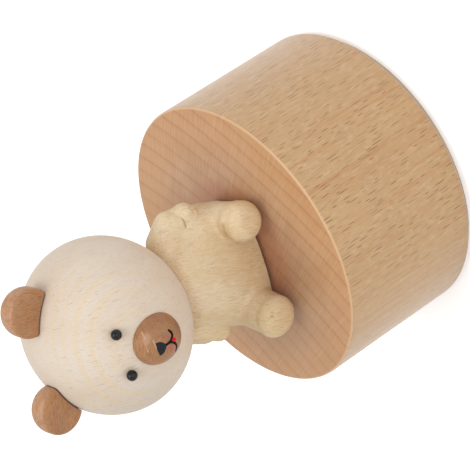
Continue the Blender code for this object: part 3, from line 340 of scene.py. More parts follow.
def woodSurface(sockets, figure, colour, wood):
    # colour, a gloss that follows the fibre, and a relief in which the rays are sunk
    rough = fade(figure["Fibre"], 0.2, 0.8, *wood["rough"])
    relief = figure["Fibre"]
    if "fibreLift" in wood:
        relief = calc("SUBTRACT", times(relief, wood["fibreLift"]), figure["Ray"])
    addBump(sockets, relief, *wood["bump"])
    fill(sockets, {"Base Color": colour, "Roughness": rough})
    fill(sockets, {"Specular IOR Level": wood["shine"], "Sheen Weight": wood["sheen"]})


# Finishes; a stain is a mask, a colour and how much of the mask is laid on, or else
# where the mask starts, where it is full and the most that it covers

beech = {
    "middle": (0, 0, 0), "fibre": (0, 0, 1), "outward": (0.809, -0.588, 0), "pith": 136.0,
    "figure": {
        "First Year": 131.0, "Year Width": 4.22, "Wander": 1.3, "Line Width": 0.16,
        "Ray Cell": (0.6, 5.0, 4.6), "Ray Width": 0.078, "Ray Share": 0.72, "Turn Radius": 150.0,
    },
    "rays": (0.2, 1.0, 0.6, 0.22),
    "side": (paint(203, 166, 118), paint(190, 150, 104)),
    "sidePale": paint(216, 188, 150),
    "band": paint(190, 132, 80),
    "sideRay": paint(122, 74, 36),
    # the strong band: its direction from the axis, half its angle, its colour
    "streak": ((0.5075, -0.8616, 0), 0.026, paint(176, 108, 58)),
    "end": (paint(190, 150, 112), paint(179, 135, 95)),
    "endWarm": paint(197, 143, 87),
    # colour of the painted shade under the bear
    "shadeUnderBear": paint(168, 90, 46),
    "endLine": paint(166, 96, 48),
    "endRay": paint(224, 190, 154),
    # colour of the painted highlight on the eased top edge
    "edgeHighlight": paint(226, 188, 148),
    "rough": (0.36, 0.5), "fibreLift": 0.6, "bump": (0.35, 0.04), "shine": 0.45, "sheen": 0.3,
}


def beechFinish():
    material, tree, sockets, figure = newWood("oiledBeech", beech)
    spot = ownPlace(tree)
    flat = calcVector("MULTIPLY", spot, (1.0, 1.0, 0.0))

    # along the side: soft orange bands, fine mottling and dark spindles
    side = blend(figure["Cloud"], *beech["side"])
    side = tint(side, figure["Mottle"], 0.45, 0.75, 0.45, beech["sidePale"])
    side = blend(times(figure["Season"], 0.07), side, beech["band"])
    side = blend(yearLines(figure, 0.04, 0.26), side, beech["band"])
    side = tint(side, figure["Fibre"], 0.4, 0.75, 0.16, beech["sideRay"])
    long = noise(timberPlace(tree, beech), (1.5, 1.5, 0.025))
    side = tint(side, long, 0.55, 0.72, 0.5, beech["band"])
    # one strong band of late wood, broken along its length
    way, width, tone = beech["streak"]
    near = calcVector("DOT_PRODUCT", calcVector("NORMALIZE", flat), way)
    near = fade(near, math.cos(width), 1.0)
    broken = fade(noise(spot, (0.3, 0.3, 0.06)), 0.42, 0.62, 0.12, 0.5)
    side = blend(times(near, broken), side, tone)
    side = blend(rayMarks(tree, figure, beech), side, beech["sideRay"])

    # across the fibre: thin brown ring lines, a pale hatch, warmer toward the rim
    end = blend(fade(figure["Cloud"], 0.3, 0.7), *beech["end"])
    reach = calcVector("LENGTH", flat)
    rim = times(fade(reach, 18.0, 34.0), fade(figure["Mottle"], 0.2, 0.8, 0.5, 1.0))
    end = blend(rim, end, beech["endWarm"])
    # painted shade: a warm darker round under the turning bear stands in for its contact shadow on the top
    end = tint(end, reach, 19.5, 13.0, 0.5, beech["shadeUnderBear"])
    end = blend(times(figure["Season"], 0.1), end, beech["endLine"])
    end = blend(yearLines(figure, 0.25, 0.44), end, beech["endLine"])
    end = tint(end, figure["Hatch"], 0.45, 0.75, 0.24, beech["endRay"])

    # painted highlight: the eased top edge is painted a little paler, where light catches it
    colour = blend(endGrain(tree, beech["fibre"]), side, end)
    upward = toward(tree, (0.0, 0.0, 1.0))
    eased = times(fade(upward, 0.3, 0.6), fade(upward, 0.97, 0.8))
    colour = blend(times(eased, 0.6), colour, beech["edgeHighlight"])
    woodSurface(sockets, figure, colour, beech)
    return material


headWood = {
    "middle": (1.31, 1.0, 81.4), "fibre": (0, 0.3, 0.954), "outward": (0.075, -0.951, 0.30), "pith": 62.0,
    "figure": {
        "First Year": 73.0, "Year Width": 2.15, "Wander": 1.3, "Line Width": 0.3,
        "Ray Cell": (0.5, 4.0, 2.8), "Ray Width": 0.075, "Ray Share": 0.6, "Turn Radius": 70.0,
    },
    "rays": (0.08, 0.42, 0.25, 0.15),
    "pale": paint(224, 210, 195),
    "cream": paint(219, 200, 179),
    "ring": paint(226, 202, 158),
    "dash": paint(138, 122, 112),
    "stains": (
        ("Season", "ring", 0.15),
        ("Mottle", "cream", 0.5, 0.75, 0.3),
        ("Fibre", "dash", 0.4, 0.75, 0.14),
    ),
    "rough": (0.55, 0.68), "fibreLift": 0.5, "bump": (0.3, 0.04), "shine": 0.3, "sheen": 0.1,
}


def headFinish():
    material, tree, sockets, figure = newWood("paleMaple", headWood)
    colour = blend(fade(figure["Cloud"], 0.3, 0.7), headWood["pale"], headWood["cream"])
    # the rings grow stronger toward the crown
    rings = yearLines(figure, 0.15, 0.42)
    rings = times(rings, fade(unpack(ownPlace(tree))[2], 80.0, 92.0, 0.35, 1.0))
    colour = blend(rings, colour, headWood["ring"])
    colour = stain(colour, figure, headWood)
    colour = blend(rayMarks(tree, figure, headWood), colour, headWood["dash"])
    woodSurface(sockets, figure, colour, headWood)
    return material


# the creases above and below the left paw are carved, and painted shade darkens them too
sleeveCrease = ((18.0, 0.4, 56.8), (17.9, -0.7, 56.7), (17.7, -1.5, 56.5), (17.3, -2.4, 56.3),
                (16.5, -3.1, 56.1), (15.7, -3.4, 55.8), (14.7, -3.4, 55.7), (13.9, -3.6, 55.9))
pawCrease = ((17.2, -1.9, 52.0), (17.0, -3.1, 52.5), (16.3, -3.4, 52.7), (15.5, -3.6, 53.0),
             (15.0, -3.7, 53.5), (14.9, -3.7, 54.2), (14.8, -3.5, 55.1))

bodyWood = {
    "middle": (0, 0, 55), "fibre": (0.34, 0, 0.94), "outward": (0.2, -0.95, 0.1), "pith": 45.0,
    "figure": {
        "Year Width": 3.4, "Wander": 4.0, "Line Width": 0.3,
        "Ray Cell": (0.42, 4.0, 3.6), "Ray Width": 0.085, "Ray Share": 0.6, "Turn Radius": 50.0,
    },
    "rays": (0.08, 0.36, 0.3, 0.3),
    "pale": paint(233, 213, 180),
    "cream": paint(224, 197, 154),
    "streak": paint(204, 166, 114),
    "light": paint(240, 224, 198),
    "dash": paint(150, 112, 74),
    # colour of the painted shade in the creases and under the head
    "shadeTone": paint(158, 104, 58),
    "stains": (("Fibre", "streak", 0.42, 0.72, 0.42), ("Mottle", "light", 0.5, 0.75, 0.4)),
    "rough": (0.52, 0.66), "fibreLift": 0.6, "bump": (0.35, 0.05), "shine": 0.3, "sheen": 0.0,
    # each painted shade mark: points in mm, width, strength; they darken the creases, and the last is a
    # painted shadow of the head across the top of the body
    "shadeMarks": (
        (((12.8, -10.5, 50.7), (10.7, -10.4, 50.7), (8.5, -9.8, 50.2), (6.4, -9.1, 49.3)), 0.75, 0.5),
        (((12.5, -7.4, 51.1), (11.4, -8.3, 51.2), (9.7, -8.6, 51.2)), 1.3, 0.28),
        (((-9.6, -10.7, 49.0), (-10.6, -10.7, 49.9), (-11.8, -10.9, 50.4)), 1.1, 0.42),
        (((-11.0, -16.0, 49.6), (-11.1, -16.1, 49.2)), 0.55, 0.8),
        (sleeveCrease[5:], 0.42, 0.8),
        (sleeveCrease[2:6], 0.36, 0.35),
        (pawCrease[2:], 0.4, 0.35),
        # a wide band just under the head: painted shadow of the head
        (((13.0, -1.3, 64.0), (7.5, -5.0, 63.3), (4.0, -6.5, 63.1), (-1.3, -7.1, 62.4), (-9.0, -4.0, 62.6)),
         2.4, 0.22),
    ),
}


def bodyFinish():
    material, tree, sockets, figure = newWood("carvedMaple", bodyWood)
    colour = blend(fade(figure["Cloud"], 0.3, 0.7), bodyWood["pale"], bodyWood["cream"])
    colour = blend(yearLines(figure, 0.02, 0.14), colour, bodyWood["streak"])
    colour = stain(colour, figure, bodyWood)
    colour = blend(rayMarks(tree, figure, bodyWood), colour, bodyWood["dash"])
    # painted shade in the creases, and a painted shadow just under the head
    spot = ownPlace(tree)
    for points, width, strength in bodyWood["shadeMarks"]:
        marks = 0.0
        for start, end in zip(points, points[1:]):
            mark = useGroup(strokeMark, spot, {"Start": start, "End": end, "Width": width})["Mark"]
            marks = calc("MAXIMUM", marks, mark)
        uneven = fade(figure["Fibre"], 0.3, 0.7, strength * 0.55, strength)
        colour = blend(times(marks, uneven), colour, bodyWood["shadeTone"])
    woodSurface(sockets, figure, colour, bodyWood)
    return material


brownWood = {
    "pith": 60.0,
    "figure": {
        "Year Width": 2.6, "Wander": 2.0, "Line Width": 0.16,
        "Ray Cell": (0.5, 4.0, 2.2), "Ray Width": 0.08, "Fibre Width": 0.17, "Turn Radius": 60.0,
    },
    "warm": (paint(188, 142, 101), paint(172, 126, 87)),
    "orange": paint(182, 124, 74),
    "dark": paint(112, 72, 46),
    # colour of the painted highlights on the muzzle's top
    "pale": paint(196, 156, 120),
    "highlightStreak": paint(222, 196, 176),
    "blush": paint(184, 84, 78),
    # colour of the painted light on an ear's upward dome
    "litDome": paint(202, 160, 130),
    "rust": paint(160, 96, 66),
    # colour of the painted shade in the seam where an ear meets the head
    "glueAndSeamShade": paint(52, 30, 18),
    "stains": (
        ("Line", "dark", 0.12),
        ("Mottle", "orange", 0.42, 0.66, 0.5),
        ("Fibre", "dark", 0.45, 0.72, 0.55),
        ("Fibre", "pale", 0.42, 0.24, 0.5),
        ("Ray", "dark", 0.4),
    ),
    # the painted shade along the seam with the head ends and starts at these sizes of the head's ball
    "seam": (1.028, 1.014),
    "rough": (0.42, 0.56), "bump": (0.35, 0.04), "shine": 0.4, "sheen": 0.0,
}


def brownFinish(name, middle, fibre, outward, marks=(), seamShade=0.0):
    wood = {**brownWood, "middle": middle, "fibre": fibre, "outward": outward}
    material, tree, sockets, figure = newWood(name, wood)
    colour = blend(fade(figure["Cloud"], 0.3, 0.7), *brownWood["warm"])
    patch = noise(timberPlace(tree, wood), (0.24, 0.24, 0.12))
    colour = tint(colour, patch, 0.5, 0.7, 0.6, brownWood["rust"])
    colour = tint(colour, patch, 0.5, 0.32, 0.7, brownWood["orange"])
    colour = stain(colour, figure, brownWood)
    spot = ownPlace(tree)
    for start, end, width, tone, strength in marks:
        mark = useGroup(strokeMark, spot, {"Start": start, "End": end, "Width": width})["Mark"]
        share = times(mark, fade(figure["Fibre"], 0.3, 0.7, strength * 0.6, strength))
        colour = blend(share, colour, brownWood[tone])
    if seamShade:
        # painted light: the dome, which faces up toward the lamp, is painted paler than the flat front, and
        # painted shade darkens the seam against the head
        up = fade(toward(tree, (0.5, 0.3, 0.81)), 0.1, 0.7)
        litDome = times(up, fade(toward(tree, (0.0, -1.0, 0.0)), 0.9, 0.5))
        litDome = times(litDome, fade(figure["Mottle"], 0.38, 0.6, 0.1, 0.5))
        colour = blend(litDome, colour, brownWood["litDome"])
        away = calcVector("DIVIDE", calcVector("SUBTRACT", spot, head["centre"]), head["size"])
        away = calcVector("LENGTH", away)
        colour = tint(colour, away, *brownWood["seam"], seamShade, brownWood["glueAndSeamShade"])
    woodSurface(sockets, figure, colour, brownWood)
    return material


def glossFinish(name, colour, roughness, shine):
    # paint and lacquered beads, with a faint unevenness
    material, tree, sockets = newMaterial(name)
    cloud = noise(ownPlace(tree), (0.9, 0.9, 0.9))
    lighter = [c * 1.5 + 0.004 for c in colour[:3]] + [1.0]
    rough = fade(cloud, 0.2, 0.8, roughness * 0.85, roughness * 1.25)
    addBump(sockets, cloud, 0.2, 0.02)
    fill(sockets, {"Base Color": blend(cloud, colour, lighter), "Roughness": rough})
    sockets["Specular IOR Level"].default_value = shine
    return material


# by the record's material slots: a name, the bright and the dull metal, and the roughness
metals = {
    "brass": ("brass", paint(201, 168, 92), paint(168, 132, 66), 0.34),
    "steel": ("steel", paint(190, 192, 194), paint(150, 152, 156), 0.34),
    "spring_steel": ("springSteel", paint(98, 106, 120), paint(70, 76, 90), 0.34),
    "zinc": ("castZinc", paint(168, 170, 172), paint(134, 137, 140), 0.46),
}


def metalFinish(name, bright, dull, roughness):
    material, tree, sockets = newMaterial(name)
    marks = useGroup(metalMarks, ownPlace(tree), {})
    colour = tint(bright, marks["Smudge"], 0.35, 0.75, 0.6, dull)
    colour = blend(times(marks["Speck"], 0.35), colour, dull)
    rough = fade(marks["Brush Lines"], 0.25, 0.75, roughness * 0.8, roughness * 1.25)
    rough = calc("ADD", rough, times(marks["Smudge"], 0.08))
    addBump(sockets, marks["Brush Lines"], 0.2, 0.02)
    fill(sockets, {"Base Color": colour, "Roughness": rough, "Metallic": 1.0})
    return material


plywood = {
    "middle": (0, 0, 3), "fibre": (1, 0.1, 0), "outward": (0, 0.3, 1), "pith": 90.0,
    "figure": {
        "Year Width": 3.0, "Wander": 6.0, "Line Width": 0.2, "Turn Radius": 90.0,
    },
    "face": (paint(216, 190, 150), paint(200, 170, 128)),
    "line": paint(176, 140, 98),
    "ray": paint(160, 124, 84),
    "glueAndSeamShade": paint(120, 84, 54),
    "stains": (("Line", "line", 0.3), ("Ray", "ray", 0.4)),
    "plyHeight": 0.6,
    "rough": (0.55, 0.7), "bump": (0.3, 0.04), "shine": 0.5, "sheen": 0.0,
}


def plywoodFinish():
    material, tree, sockets, figure = newWood("birchPlywood", plywood)
    colour = stain(blend(figure["Cloud"], *plywood["face"]), figure, plywood)
    # the darker glue lines between the plies show on the edge
    ply = calc("PINGPONG", unpack(ownPlace(tree))[2], plywood["plyHeight"])
    glueAndSeamShade = times(fade(ply, 0.14, 0.04), endGrain(tree, (0, 0, 1), 0.6, 0.3))
    colour = blend(times(glueAndSeamShade, 0.6), colour, plywood["glueAndSeamShade"])
    woodSurface(sockets, figure, colour, plywood)
    return material


def feltFinish():
    material, tree, sockets = newMaterial("woolFelt")
    place = ownPlace(tree)
    fluff = noise(place, (1.6, 1.6, 1.6), 5.0, 0.7)
    patch = noise(place, (0.2, 0.2, 0.2))
    colour = blend(patch, paint(214, 204, 186), paint(200, 188, 168))
    colour = tint(colour, fluff, 0.5, 0.75, 0.5, paint(172, 158, 136))
    addBump(sockets, fluff, 0.8, 0.25)
    fill(sockets, {"Base Color": colour, "Roughness": 0.95, "Sheen Weight": 0.3})
    return material


def nylonFinish():
    material, tree, sockets = newMaterial("whiteNylon")
    cloud = noise(ownPlace(tree), (0.7, 0.7, 0.7), 3.0)
    colour = blend(cloud, paint(238, 236, 228), paint(224, 220, 208))
    addBump(sockets, cloud, 0.15, 0.03)
    fill(sockets, {"Base Color": colour, "Roughness": fade(cloud, 0.3, 0.7, 0.38, 0.52)})
    return material


# Mesh helpers

def shadeSmooth(mesh):
    mesh.shade_smooth()
    mesh.set_sharp_from_angle(angle=math.radians(sharpAngle))


def newObject(name, data):
    thing = bpy.data.objects.new(name, data)
    bpy.context.scene.collection.objects.link(thing)
    return thing


def toPiece(shape, name):
    bmesh.ops.recalc_face_normals(shape, faces=shape.faces)
    mesh = bpy.data.meshes.new(name)
    shape.to_mesh(mesh)
    shape.free()
    mesh.transform(Matrix.Scale(mm, 4))
    shadeSmooth(mesh)
    return newObject(name, mesh)


def joinRings(shape, rings):
    # a skin of four-sided faces from each ring of points to the next
    for ring, following in zip(rings, rings[1:]):
        for index in range(len(ring)):
            shape.faces.new((ring[index], ring[index - 1], following[index - 1], following[index]))


def turnProfile(profile, steps):
    # spins a closed outline, given as (radius, height), round Z
    shape = bmesh.new()
    points = [shape.verts.new((radius, 0, height)) for radius, height in profile]
    edges = []
    for first, second in zip(points, points[1:] + points[:1]):
        if first.co.x > 0 or second.co.x > 0:
            edges.append(shape.edges.new((first, second)))
    bmesh.ops.spin(
        shape, geom=points + edges, cent=(0, 0, 0), axis=(0, 0, 1),
        angle=2 * math.pi, steps=steps, use_merge=True,
    )
    bmesh.ops.remove_doubles(shape, verts=shape.verts, dist=0.0005)
    return shape


def roundOff(radius, height, ease, start, steps=7):
    # a quarter round, starting at the given angle
    angles = [math.radians(start + 90 * step / steps) for step in range(steps + 1)]
    return [(radius - ease + ease * math.cos(a), height + ease * math.sin(a)) for a in angles]


def moveShape(shape, turn, spot):
    bmesh.ops.transform(shape, matrix=Matrix.Translation(spot) @ turn.to_4x4(), verts=shape.verts)


def rod(name, radius, start, end, steps):
    start, end = Vector(start), Vector(end)
    way = end - start
    shape = turnProfile([(0, 0), (radius, 0), (radius, way.length), (0, way.length)], steps)
    moveShape(shape, way.to_track_quat("Z", "Y").to_matrix(), start)
    return toPiece(shape, name)


def roundBall(centre, size, cuts):
    # a cube blown up to a ball, so that no poles pinch
    shape = bmesh.new()
    bmesh.ops.create_cube(shape, size=2)
    bmesh.ops.subdivide_edges(shape, edges=shape.edges, cuts=cuts, use_grid_fill=True)
    for point in shape.verts:
        even = Vector([math.tan(c * math.pi / 4) for c in point.co]).normalized()
        point.co = Vector(centre) + Vector([c * s for c, s in zip(even, size)])
    return shape


def cutAway(piece, *tools):
    # takes the tools out of the piece for good
    for tool in tools:
        step = piece.modifiers.new("cut", "BOOLEAN")
        step.operation = "DIFFERENCE"
        step.solver = "EXACT"
        step.object = tool
    bpy.context.view_layer.update()
    graph = bpy.context.evaluated_depsgraph_get()
    mesh = bpy.data.meshes.new_from_object(piece.evaluated_get(graph))
    piece.modifiers.clear()
    piece.data = mesh
    for tool in tools:
        bpy.data.objects.remove(tool)
    shadeSmooth(mesh)


def dress(piece, material, slotName, *stands, body="figure"):
    piece.data.materials.append(material)
    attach(piece, body)
    if stands:
        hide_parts(*stands)


# The turned beech base

woodLow, woodHigh = [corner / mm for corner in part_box("base_shell")]
base = {
    "radius": woodHigh.x,
    "bottom": woodLow.z,
    "top": woodHigh.z,
    "ease": 0.84,
    "ceiling": 33.6,
    "cavity": 29.0,
    "ledge": 5.1,
    "coverSeat": 33.2,
    "bushHole": 3.3,
    "flangeSeat": 4.9,
    "flangeLevel": 39.0,
    "screwHole": 1.25,
    # each circle of screws: radius, angles, from and to what height
    "coverScrews": (31.1, (90, 210, 330), 1.0, 10.7),
    "plateScrews": (22.5, (35, 132, 227), 30.4, 37.0),
    "steps": 240,
}


def makeBase():
    radius, bottom, top, ease = [base[part] for part in ("radius", "bottom", "top", "ease")]
    profile = roundOff(radius, bottom + ease, ease, -90) + roundOff(radius, top - ease, ease, 0)
    hollow = (
        ("flangeSeat", "top"), ("flangeSeat", "flangeLevel"), ("bushHole", "flangeLevel"),
        ("bushHole", "ceiling"), ("cavity", "ceiling"), ("cavity", "ledge"),
        ("coverSeat", "ledge"), ("coverSeat", "bottom"),
    )
    profile += [(base[out], base[level]) for out, level in hollow]
    piece = toPiece(turnProfile(profile, base["steps"]), "beechBase")
    holes = []
    for circle, angles, low, high in (base["coverScrews"], base["plateScrews"]):
        for angle in [math.radians(degrees) for degrees in angles]:
            x, y = circle * math.cos(angle), circle * math.sin(angle)
            holes.append(rod("screwHole", base["screwHole"], (x, y, low), (x, y, high), 20))
    cutAway(piece, *holes)
    dress(piece, beechFinish(), "beech", "base_shell", body="base")


# The head with its ears, muzzle and eyes

head = {
    "centre": Vector((1.53, 1.14, 81.43)),
    "size": Vector((20.7, 20.7, 18.9)),
    "turn": 2.6,
    "roll": 2.5,
    "earSpot": (12.3, 1.56, 18.07),
    "earRadius": 5.75,
    "earFront": 2.9,
    "earDome": 4.1,
    "earEdge": 1.1,
    "earGap": 0.22,
    "eyesAcross": (16.5, -14.9),
    "eyeUp": 25.2,
    "eyeRadius": 1.25,
    "eyeStand": 0.74,
    "beadStart": 0.55,
    "beadSteps": 14,
    "pinRadius": 0.5,
    "pinLength": 4.0,
    "pinNeck": 0.5,
    "pinPlay": (0.15, 0.3),
    # the dimple round each eye: how deep, how wide, and where it ends
    "dimple": (0.45, 1.5, 4.0),
    "muzzleUp": 1.9,
    "muzzleOut": 18.45,
    "muzzleSize": Vector((5.95, 6.15, 6.4)),
    "glueLine": 0.14,
    # radius, from and to what height
    "dowelHole": (3.3, 56.0, 69.9),
    "cuts": 63,
    "seatCuts": 47,
    "muzzleCuts": 39,
}


def fromHead(across, up):
    # a direction from the head's middle: across grows to the bear's left
    a, e = math.radians(across + head["turn"]), math.radians(up)
    return Vector((math.sin(a) * math.cos(e), -math.cos(a) * math.cos(e), math.sin(e)))


def onHead(across, up):
    way = fromHead(across, up)
    reach = Vector([w * s for w, s in zip(way, head["size"])]).length
    return head["centre"] + way * reach, way


def headTool(name, grow):
    size = head["size"] + Vector((grow, grow, grow))
    return toPiece(roundBall(head["centre"], size, head["seatCuts"]), name)


def dowelTool():
    radius, low, high = head["dowelHole"]
    x, y = head["centre"].xy
    return rod("dowelHole", radius, (x, y, low), (x, y, high), 40)


def makeHead():
    shape = roundBall(head["centre"], head["size"], head["cuts"])
    eyes = [onHead(across, head["eyeUp"]) for across in head["eyesAcross"]]
    deep, wide, limit = head["dimple"]
    for point in shape.verts:
        for spot, way in eyes:
            away = (point.co - spot).length
            if away < limit:
                point.co -= way * deep * math.exp(-(away / wide) ** 2)
    piece = toPiece(shape, "turnedHead")
    around, below = head["pinPlay"]
    tools = [dowelTool()]
    for spot, way in eyes:
        low = spot - way * (head["pinLength"] + below)
        tools.append(rod("pinHole", head["pinRadius"] + around, low, spot + way, 16))
    cutAway(piece, *tools)
    dress(piece, headFinish(), "maple", "bear_head")
    makeEyes(eyes)


def makeEyes(eyes):
    # round beads on pins
    radius, rise, pin, low = head["eyeRadius"], head["eyeStand"], head["pinRadius"], -head["pinLength"]
    start = -math.asin(head["beadStart"] * rise / radius)
    profile = [(0, low), (pin, low), (pin, rise - head["pinNeck"])]
    for step in range(head["beadSteps"]):
        angle = start + (math.pi / 2 - start) * step / head["beadSteps"]
        profile.append((radius * math.cos(angle), rise + radius * math.sin(angle)))
    profile.append((0, rise + radius))
    finish = glossFinish("blackBead", paint(9, 9, 11), 0.14, 0.28)
    for name, (spot, way) in zip(("eye_left", "eye_right"), eyes):
        bead = turnProfile(profile, 36)
        moveShape(bead, way.to_track_quat("Z", "Y").to_matrix(), spot)
        dress(toPiece(bead, name + "Bead"), finish, "bead", name)


def makeEars():
    # buttons with a flat front, an eased front edge and a domed back
    roll = Matrix.Rotation(math.radians(head["roll"]), 3, "Y")
    radius, front = head["earRadius"], head["earFront"]
    profile = [(0, -head["earDome"])] + roundOff(radius, 0, head["earDome"], -90, 14)
    profile += roundOff(radius, front - head["earEdge"], head["earEdge"], 0, 8) + [(0, front)]
    across, back, rise = head["earSpot"]
    for side, name, fibre in ((1, "left", (0.36, 0.1, 0.93)), (-1, "right", (0.9, 0.1, -0.45))):
        spot = head["centre"] + roll @ Vector((side * across, back, rise))
        shape = turnProfile(profile, 72)
        moveShape(shape, Matrix.Rotation(math.pi / 2, 3, "X"), spot)
        ear = toPiece(shape, "woodenEar" + name.title())
        cutAway(ear, headTool("earSeat", head["earGap"]))
        # the ears get painted light on the dome and painted shade at the seam
        finish = brownFinish("brownEar" + name.title(), spot, fibre, (0, -1, 0.3), seamShade=0.85)
        dress(ear, finish, "brown_wood", "ear_" + name)


def muzzleFrame():
    # the muzzle's centre, and its own right, up and forward
    forward = fromHead(0, head["muzzleUp"])
    turn = math.radians(head["turn"])
    right = Vector((math.cos(turn), math.sin(turn), 0))
    return head["centre"] + forward * head["muzzleOut"], right, forward.cross(right), forward


# marks on the muzzle: from, to, width, colour, strength
muzzleMarks = (
    # a broad dark band on the chin side: painted shade on the muzzle's underside
    ((3.6, -20.4, 77.6), (-1.6, -20.6, 76.8), 4.2, "dark", 0.4),
    ((-2.0, -21.6, 86.2), (-3.6, -20.6, 84.2), 3.4, "orange", 0.6),
    # thin pale streaks and a soft spot on the muzzle's top: painted highlights
    ((4.2, -21.0, 86.6), (2.4, -21.3, 86.8), 0.24, "highlightStreak", 0.6),
    ((2.4, -21.3, 86.8), (-0.2, -20.7, 86.5), 0.2, "highlightStreak", 0.55),
    ((4.4, -22.2, 85.2), (2.7, -22.5, 85.3), 0.26, "highlightStreak", 0.45),
    ((6.4, -19.9, 85.9), (5.2, -20.8, 86.2), 0.4, "highlightStreak", 0.35),
    ((5.5, -21.1, 85.8), (4.7, -21.1, 86.3), 1.3, "highlightStreak", 0.25),
    ((1.4, -23.3, 82.8), (1.2, -23.3, 82.2), 0.7, "blush", 0.6),
    ((1.2, -23.3, 82.2), (0.1, -22.9, 81.1), 0.6, "blush", 0.6),
)


def makeMuzzle():
    centre = muzzleFrame()[0]
    piece = toPiece(roundBall(centre, head["muzzleSize"], head["muzzleCuts"]), "woodenMuzzle")
    cutAway(piece, headTool("muzzleSeat", head["glueLine"]))
    darkened = (tuple(centre), tuple(centre), 14.0, "dark", 0.42)
    finish = brownFinish("brownMuzzle", centre, (-1, 0.2, 0.15), (0, -1, 0.2), (darkened, *muzzleMarks))
    dress(piece, finish, "brown_wood", "muzzle")


# Nose and mouth, painted on the muzzle; (across, up) in mm from the muzzle's middle

face = {
    "nose": [(1.09, 2.89), (1.09, 2.21), (0.68, 1.47), (-0.29, 0.81), (-1.09, 1.14), (-1.89, 1.78),
             (-2.27, 2.61), (-1.52, 2.92), (-0.31, 3.05)],
    # each stroke: name, paint, width and its points
    "strokes": (
        ("mouthBridge", "black", 0.66, [(-0.32, 0.95), (-0.24, 0.41), (-0.23, -0.15)]),
        ("mouthLeft", "black", 0.64,
         [(-0.23, 0.02), (0.03, -0.54), (0.41, -1.1), (0.87, -1.53), (1.59, -1.52), (2.35, -1.12)]),
        ("mouthRight", "black", 0.62,
         [(-0.23, -0.03), (-0.48, -0.78), (-1.18, -1.47), (-2.07, -1.81), (-2.84, -1.75), (-3.51, -1.37)]),
        ("paintedTongue", "red", 1.1, [(-0.36, -0.98), (-0.37, -1.46), (-0.09, -1.93)]),
    ),
    "lift": 0.05,
    "sink": 0.08,
    # across a stroke: share of its half width, share of the lift
    "brush": ((-1, 0), (-0.6, 0.8), (0, 1), (0.6, 0.8), (1, 0)),
    "underside": (0.8, -0.8),
    # inward over a patch: share of its size, share of the lift
    "crown": ((0.9, 0.9), (0.6, 1.3), (0.3, 1.4)),
}


def onMuzzle(across, up, lift):
    centre, right, upward, forward = muzzleFrame()
    wide, deep, tall = [half + lift for half in head["muzzleSize"]]
    out = deep * math.sqrt(max(0.0, 1 - (across / wide) ** 2 - (up / tall) ** 2))
    return centre + right * across + upward * up + forward * out


def smoothLine(points, steps):
    # a curve through all the points
    line = []
    ends = [points[0]] + list(points) + [points[-1]]
    for a, b, c, d in zip(ends, ends[1:], ends[2:], ends[3:]):
        for step in range(steps):
            t = step / steps
            line.append(tuple(
                0.5 * (2 * q + (r - p) * t + (2 * p - 5 * q + 4 * r - s) * t * t
                       + (3 * q - p - 3 * r + s) * t ** 3)
                for p, q, r, s in zip(a, b, c, d)
            ))
    return line + [tuple(points[-1])]


def paintStroke(name, points, width, material):
    # one stroke of a thin brush: it starts full and runs out to a point
    line = [Vector(p) for p in smoothLine(points, 8)]
    last = len(line) - 1
    section = [(out, face["lift"] * share) for out, share in face["brush"]]
    section += [(out, -face["sink"]) for out in face["underside"]]
    shape = bmesh.new()
    rows = []
    for index, spot in enumerate(line):
        ahead = (line[min(index + 1, last)] - line[max(index - 1, 0)]).normalized()
        across = Vector((-ahead.y, ahead.x))
        share = index / last
        half = width / 2 * min(1.0, 0.7 + 4 * share, 0.5 + 4 * (1 - share))
        places = [(spot + across * half * out, lift) for out, lift in section]
        rows.append([shape.verts.new(onMuzzle(place.x, place.y, lift)) for place, lift in places])
    joinRings(shape, rows)
    shape.faces.new(rows[0])
    shape.faces.new(rows[-1])
    dress(toPiece(shape, name), material, "brown_wood")


def paintPatch(name, outline, material):
    # a filled patch of paint with soft edges
    closed = [Vector(p) for p in smoothLine(list(outline) + [outline[0]], 4)[:-1]]
    middle = sum(closed, Vector((0, 0))) / len(closed)
    levels = [(1.0, -face["sink"]), (1.0, 0.0)]
    levels += [(share, face["lift"] * rise) for share, rise in face["crown"]]
    shape = bmesh.new()
    rings = []
    for share, lift in levels:
        places = [middle + (spot - middle) * share for spot in closed]
        rings.append([shape.verts.new(onMuzzle(place.x, place.y, lift)) for place in places])
    joinRings(shape, rings)
    for ring, (share, lift) in ((rings[0], levels[0]), (rings[-1], levels[-1])):
        centre = shape.verts.new(onMuzzle(middle.x, middle.y, lift))
        for index in range(len(ring)):
            shape.faces.new((ring[index], ring[index - 1], centre))
    dress(toPiece(shape, name), material, "brown_wood")


def makeFace():
    paints = {
        "slate": glossFinish("slatePaint", paint(27, 31, 36), 0.6, 0.15),
        "black": glossFinish("blackLine", paint(8, 7, 7), 0.6, 0.1),
        "red": glossFinish("redPaint", paint(200, 14, 22), 0.6, 0.15),
    }
    paintPatch("paintedNose", face["nose"], paints["slate"])
    for name, tone, width, points in face["strokes"]:
        paintStroke(name, points, width, paints[tone])


# The carved body, shaped as one field of distances and then meshed

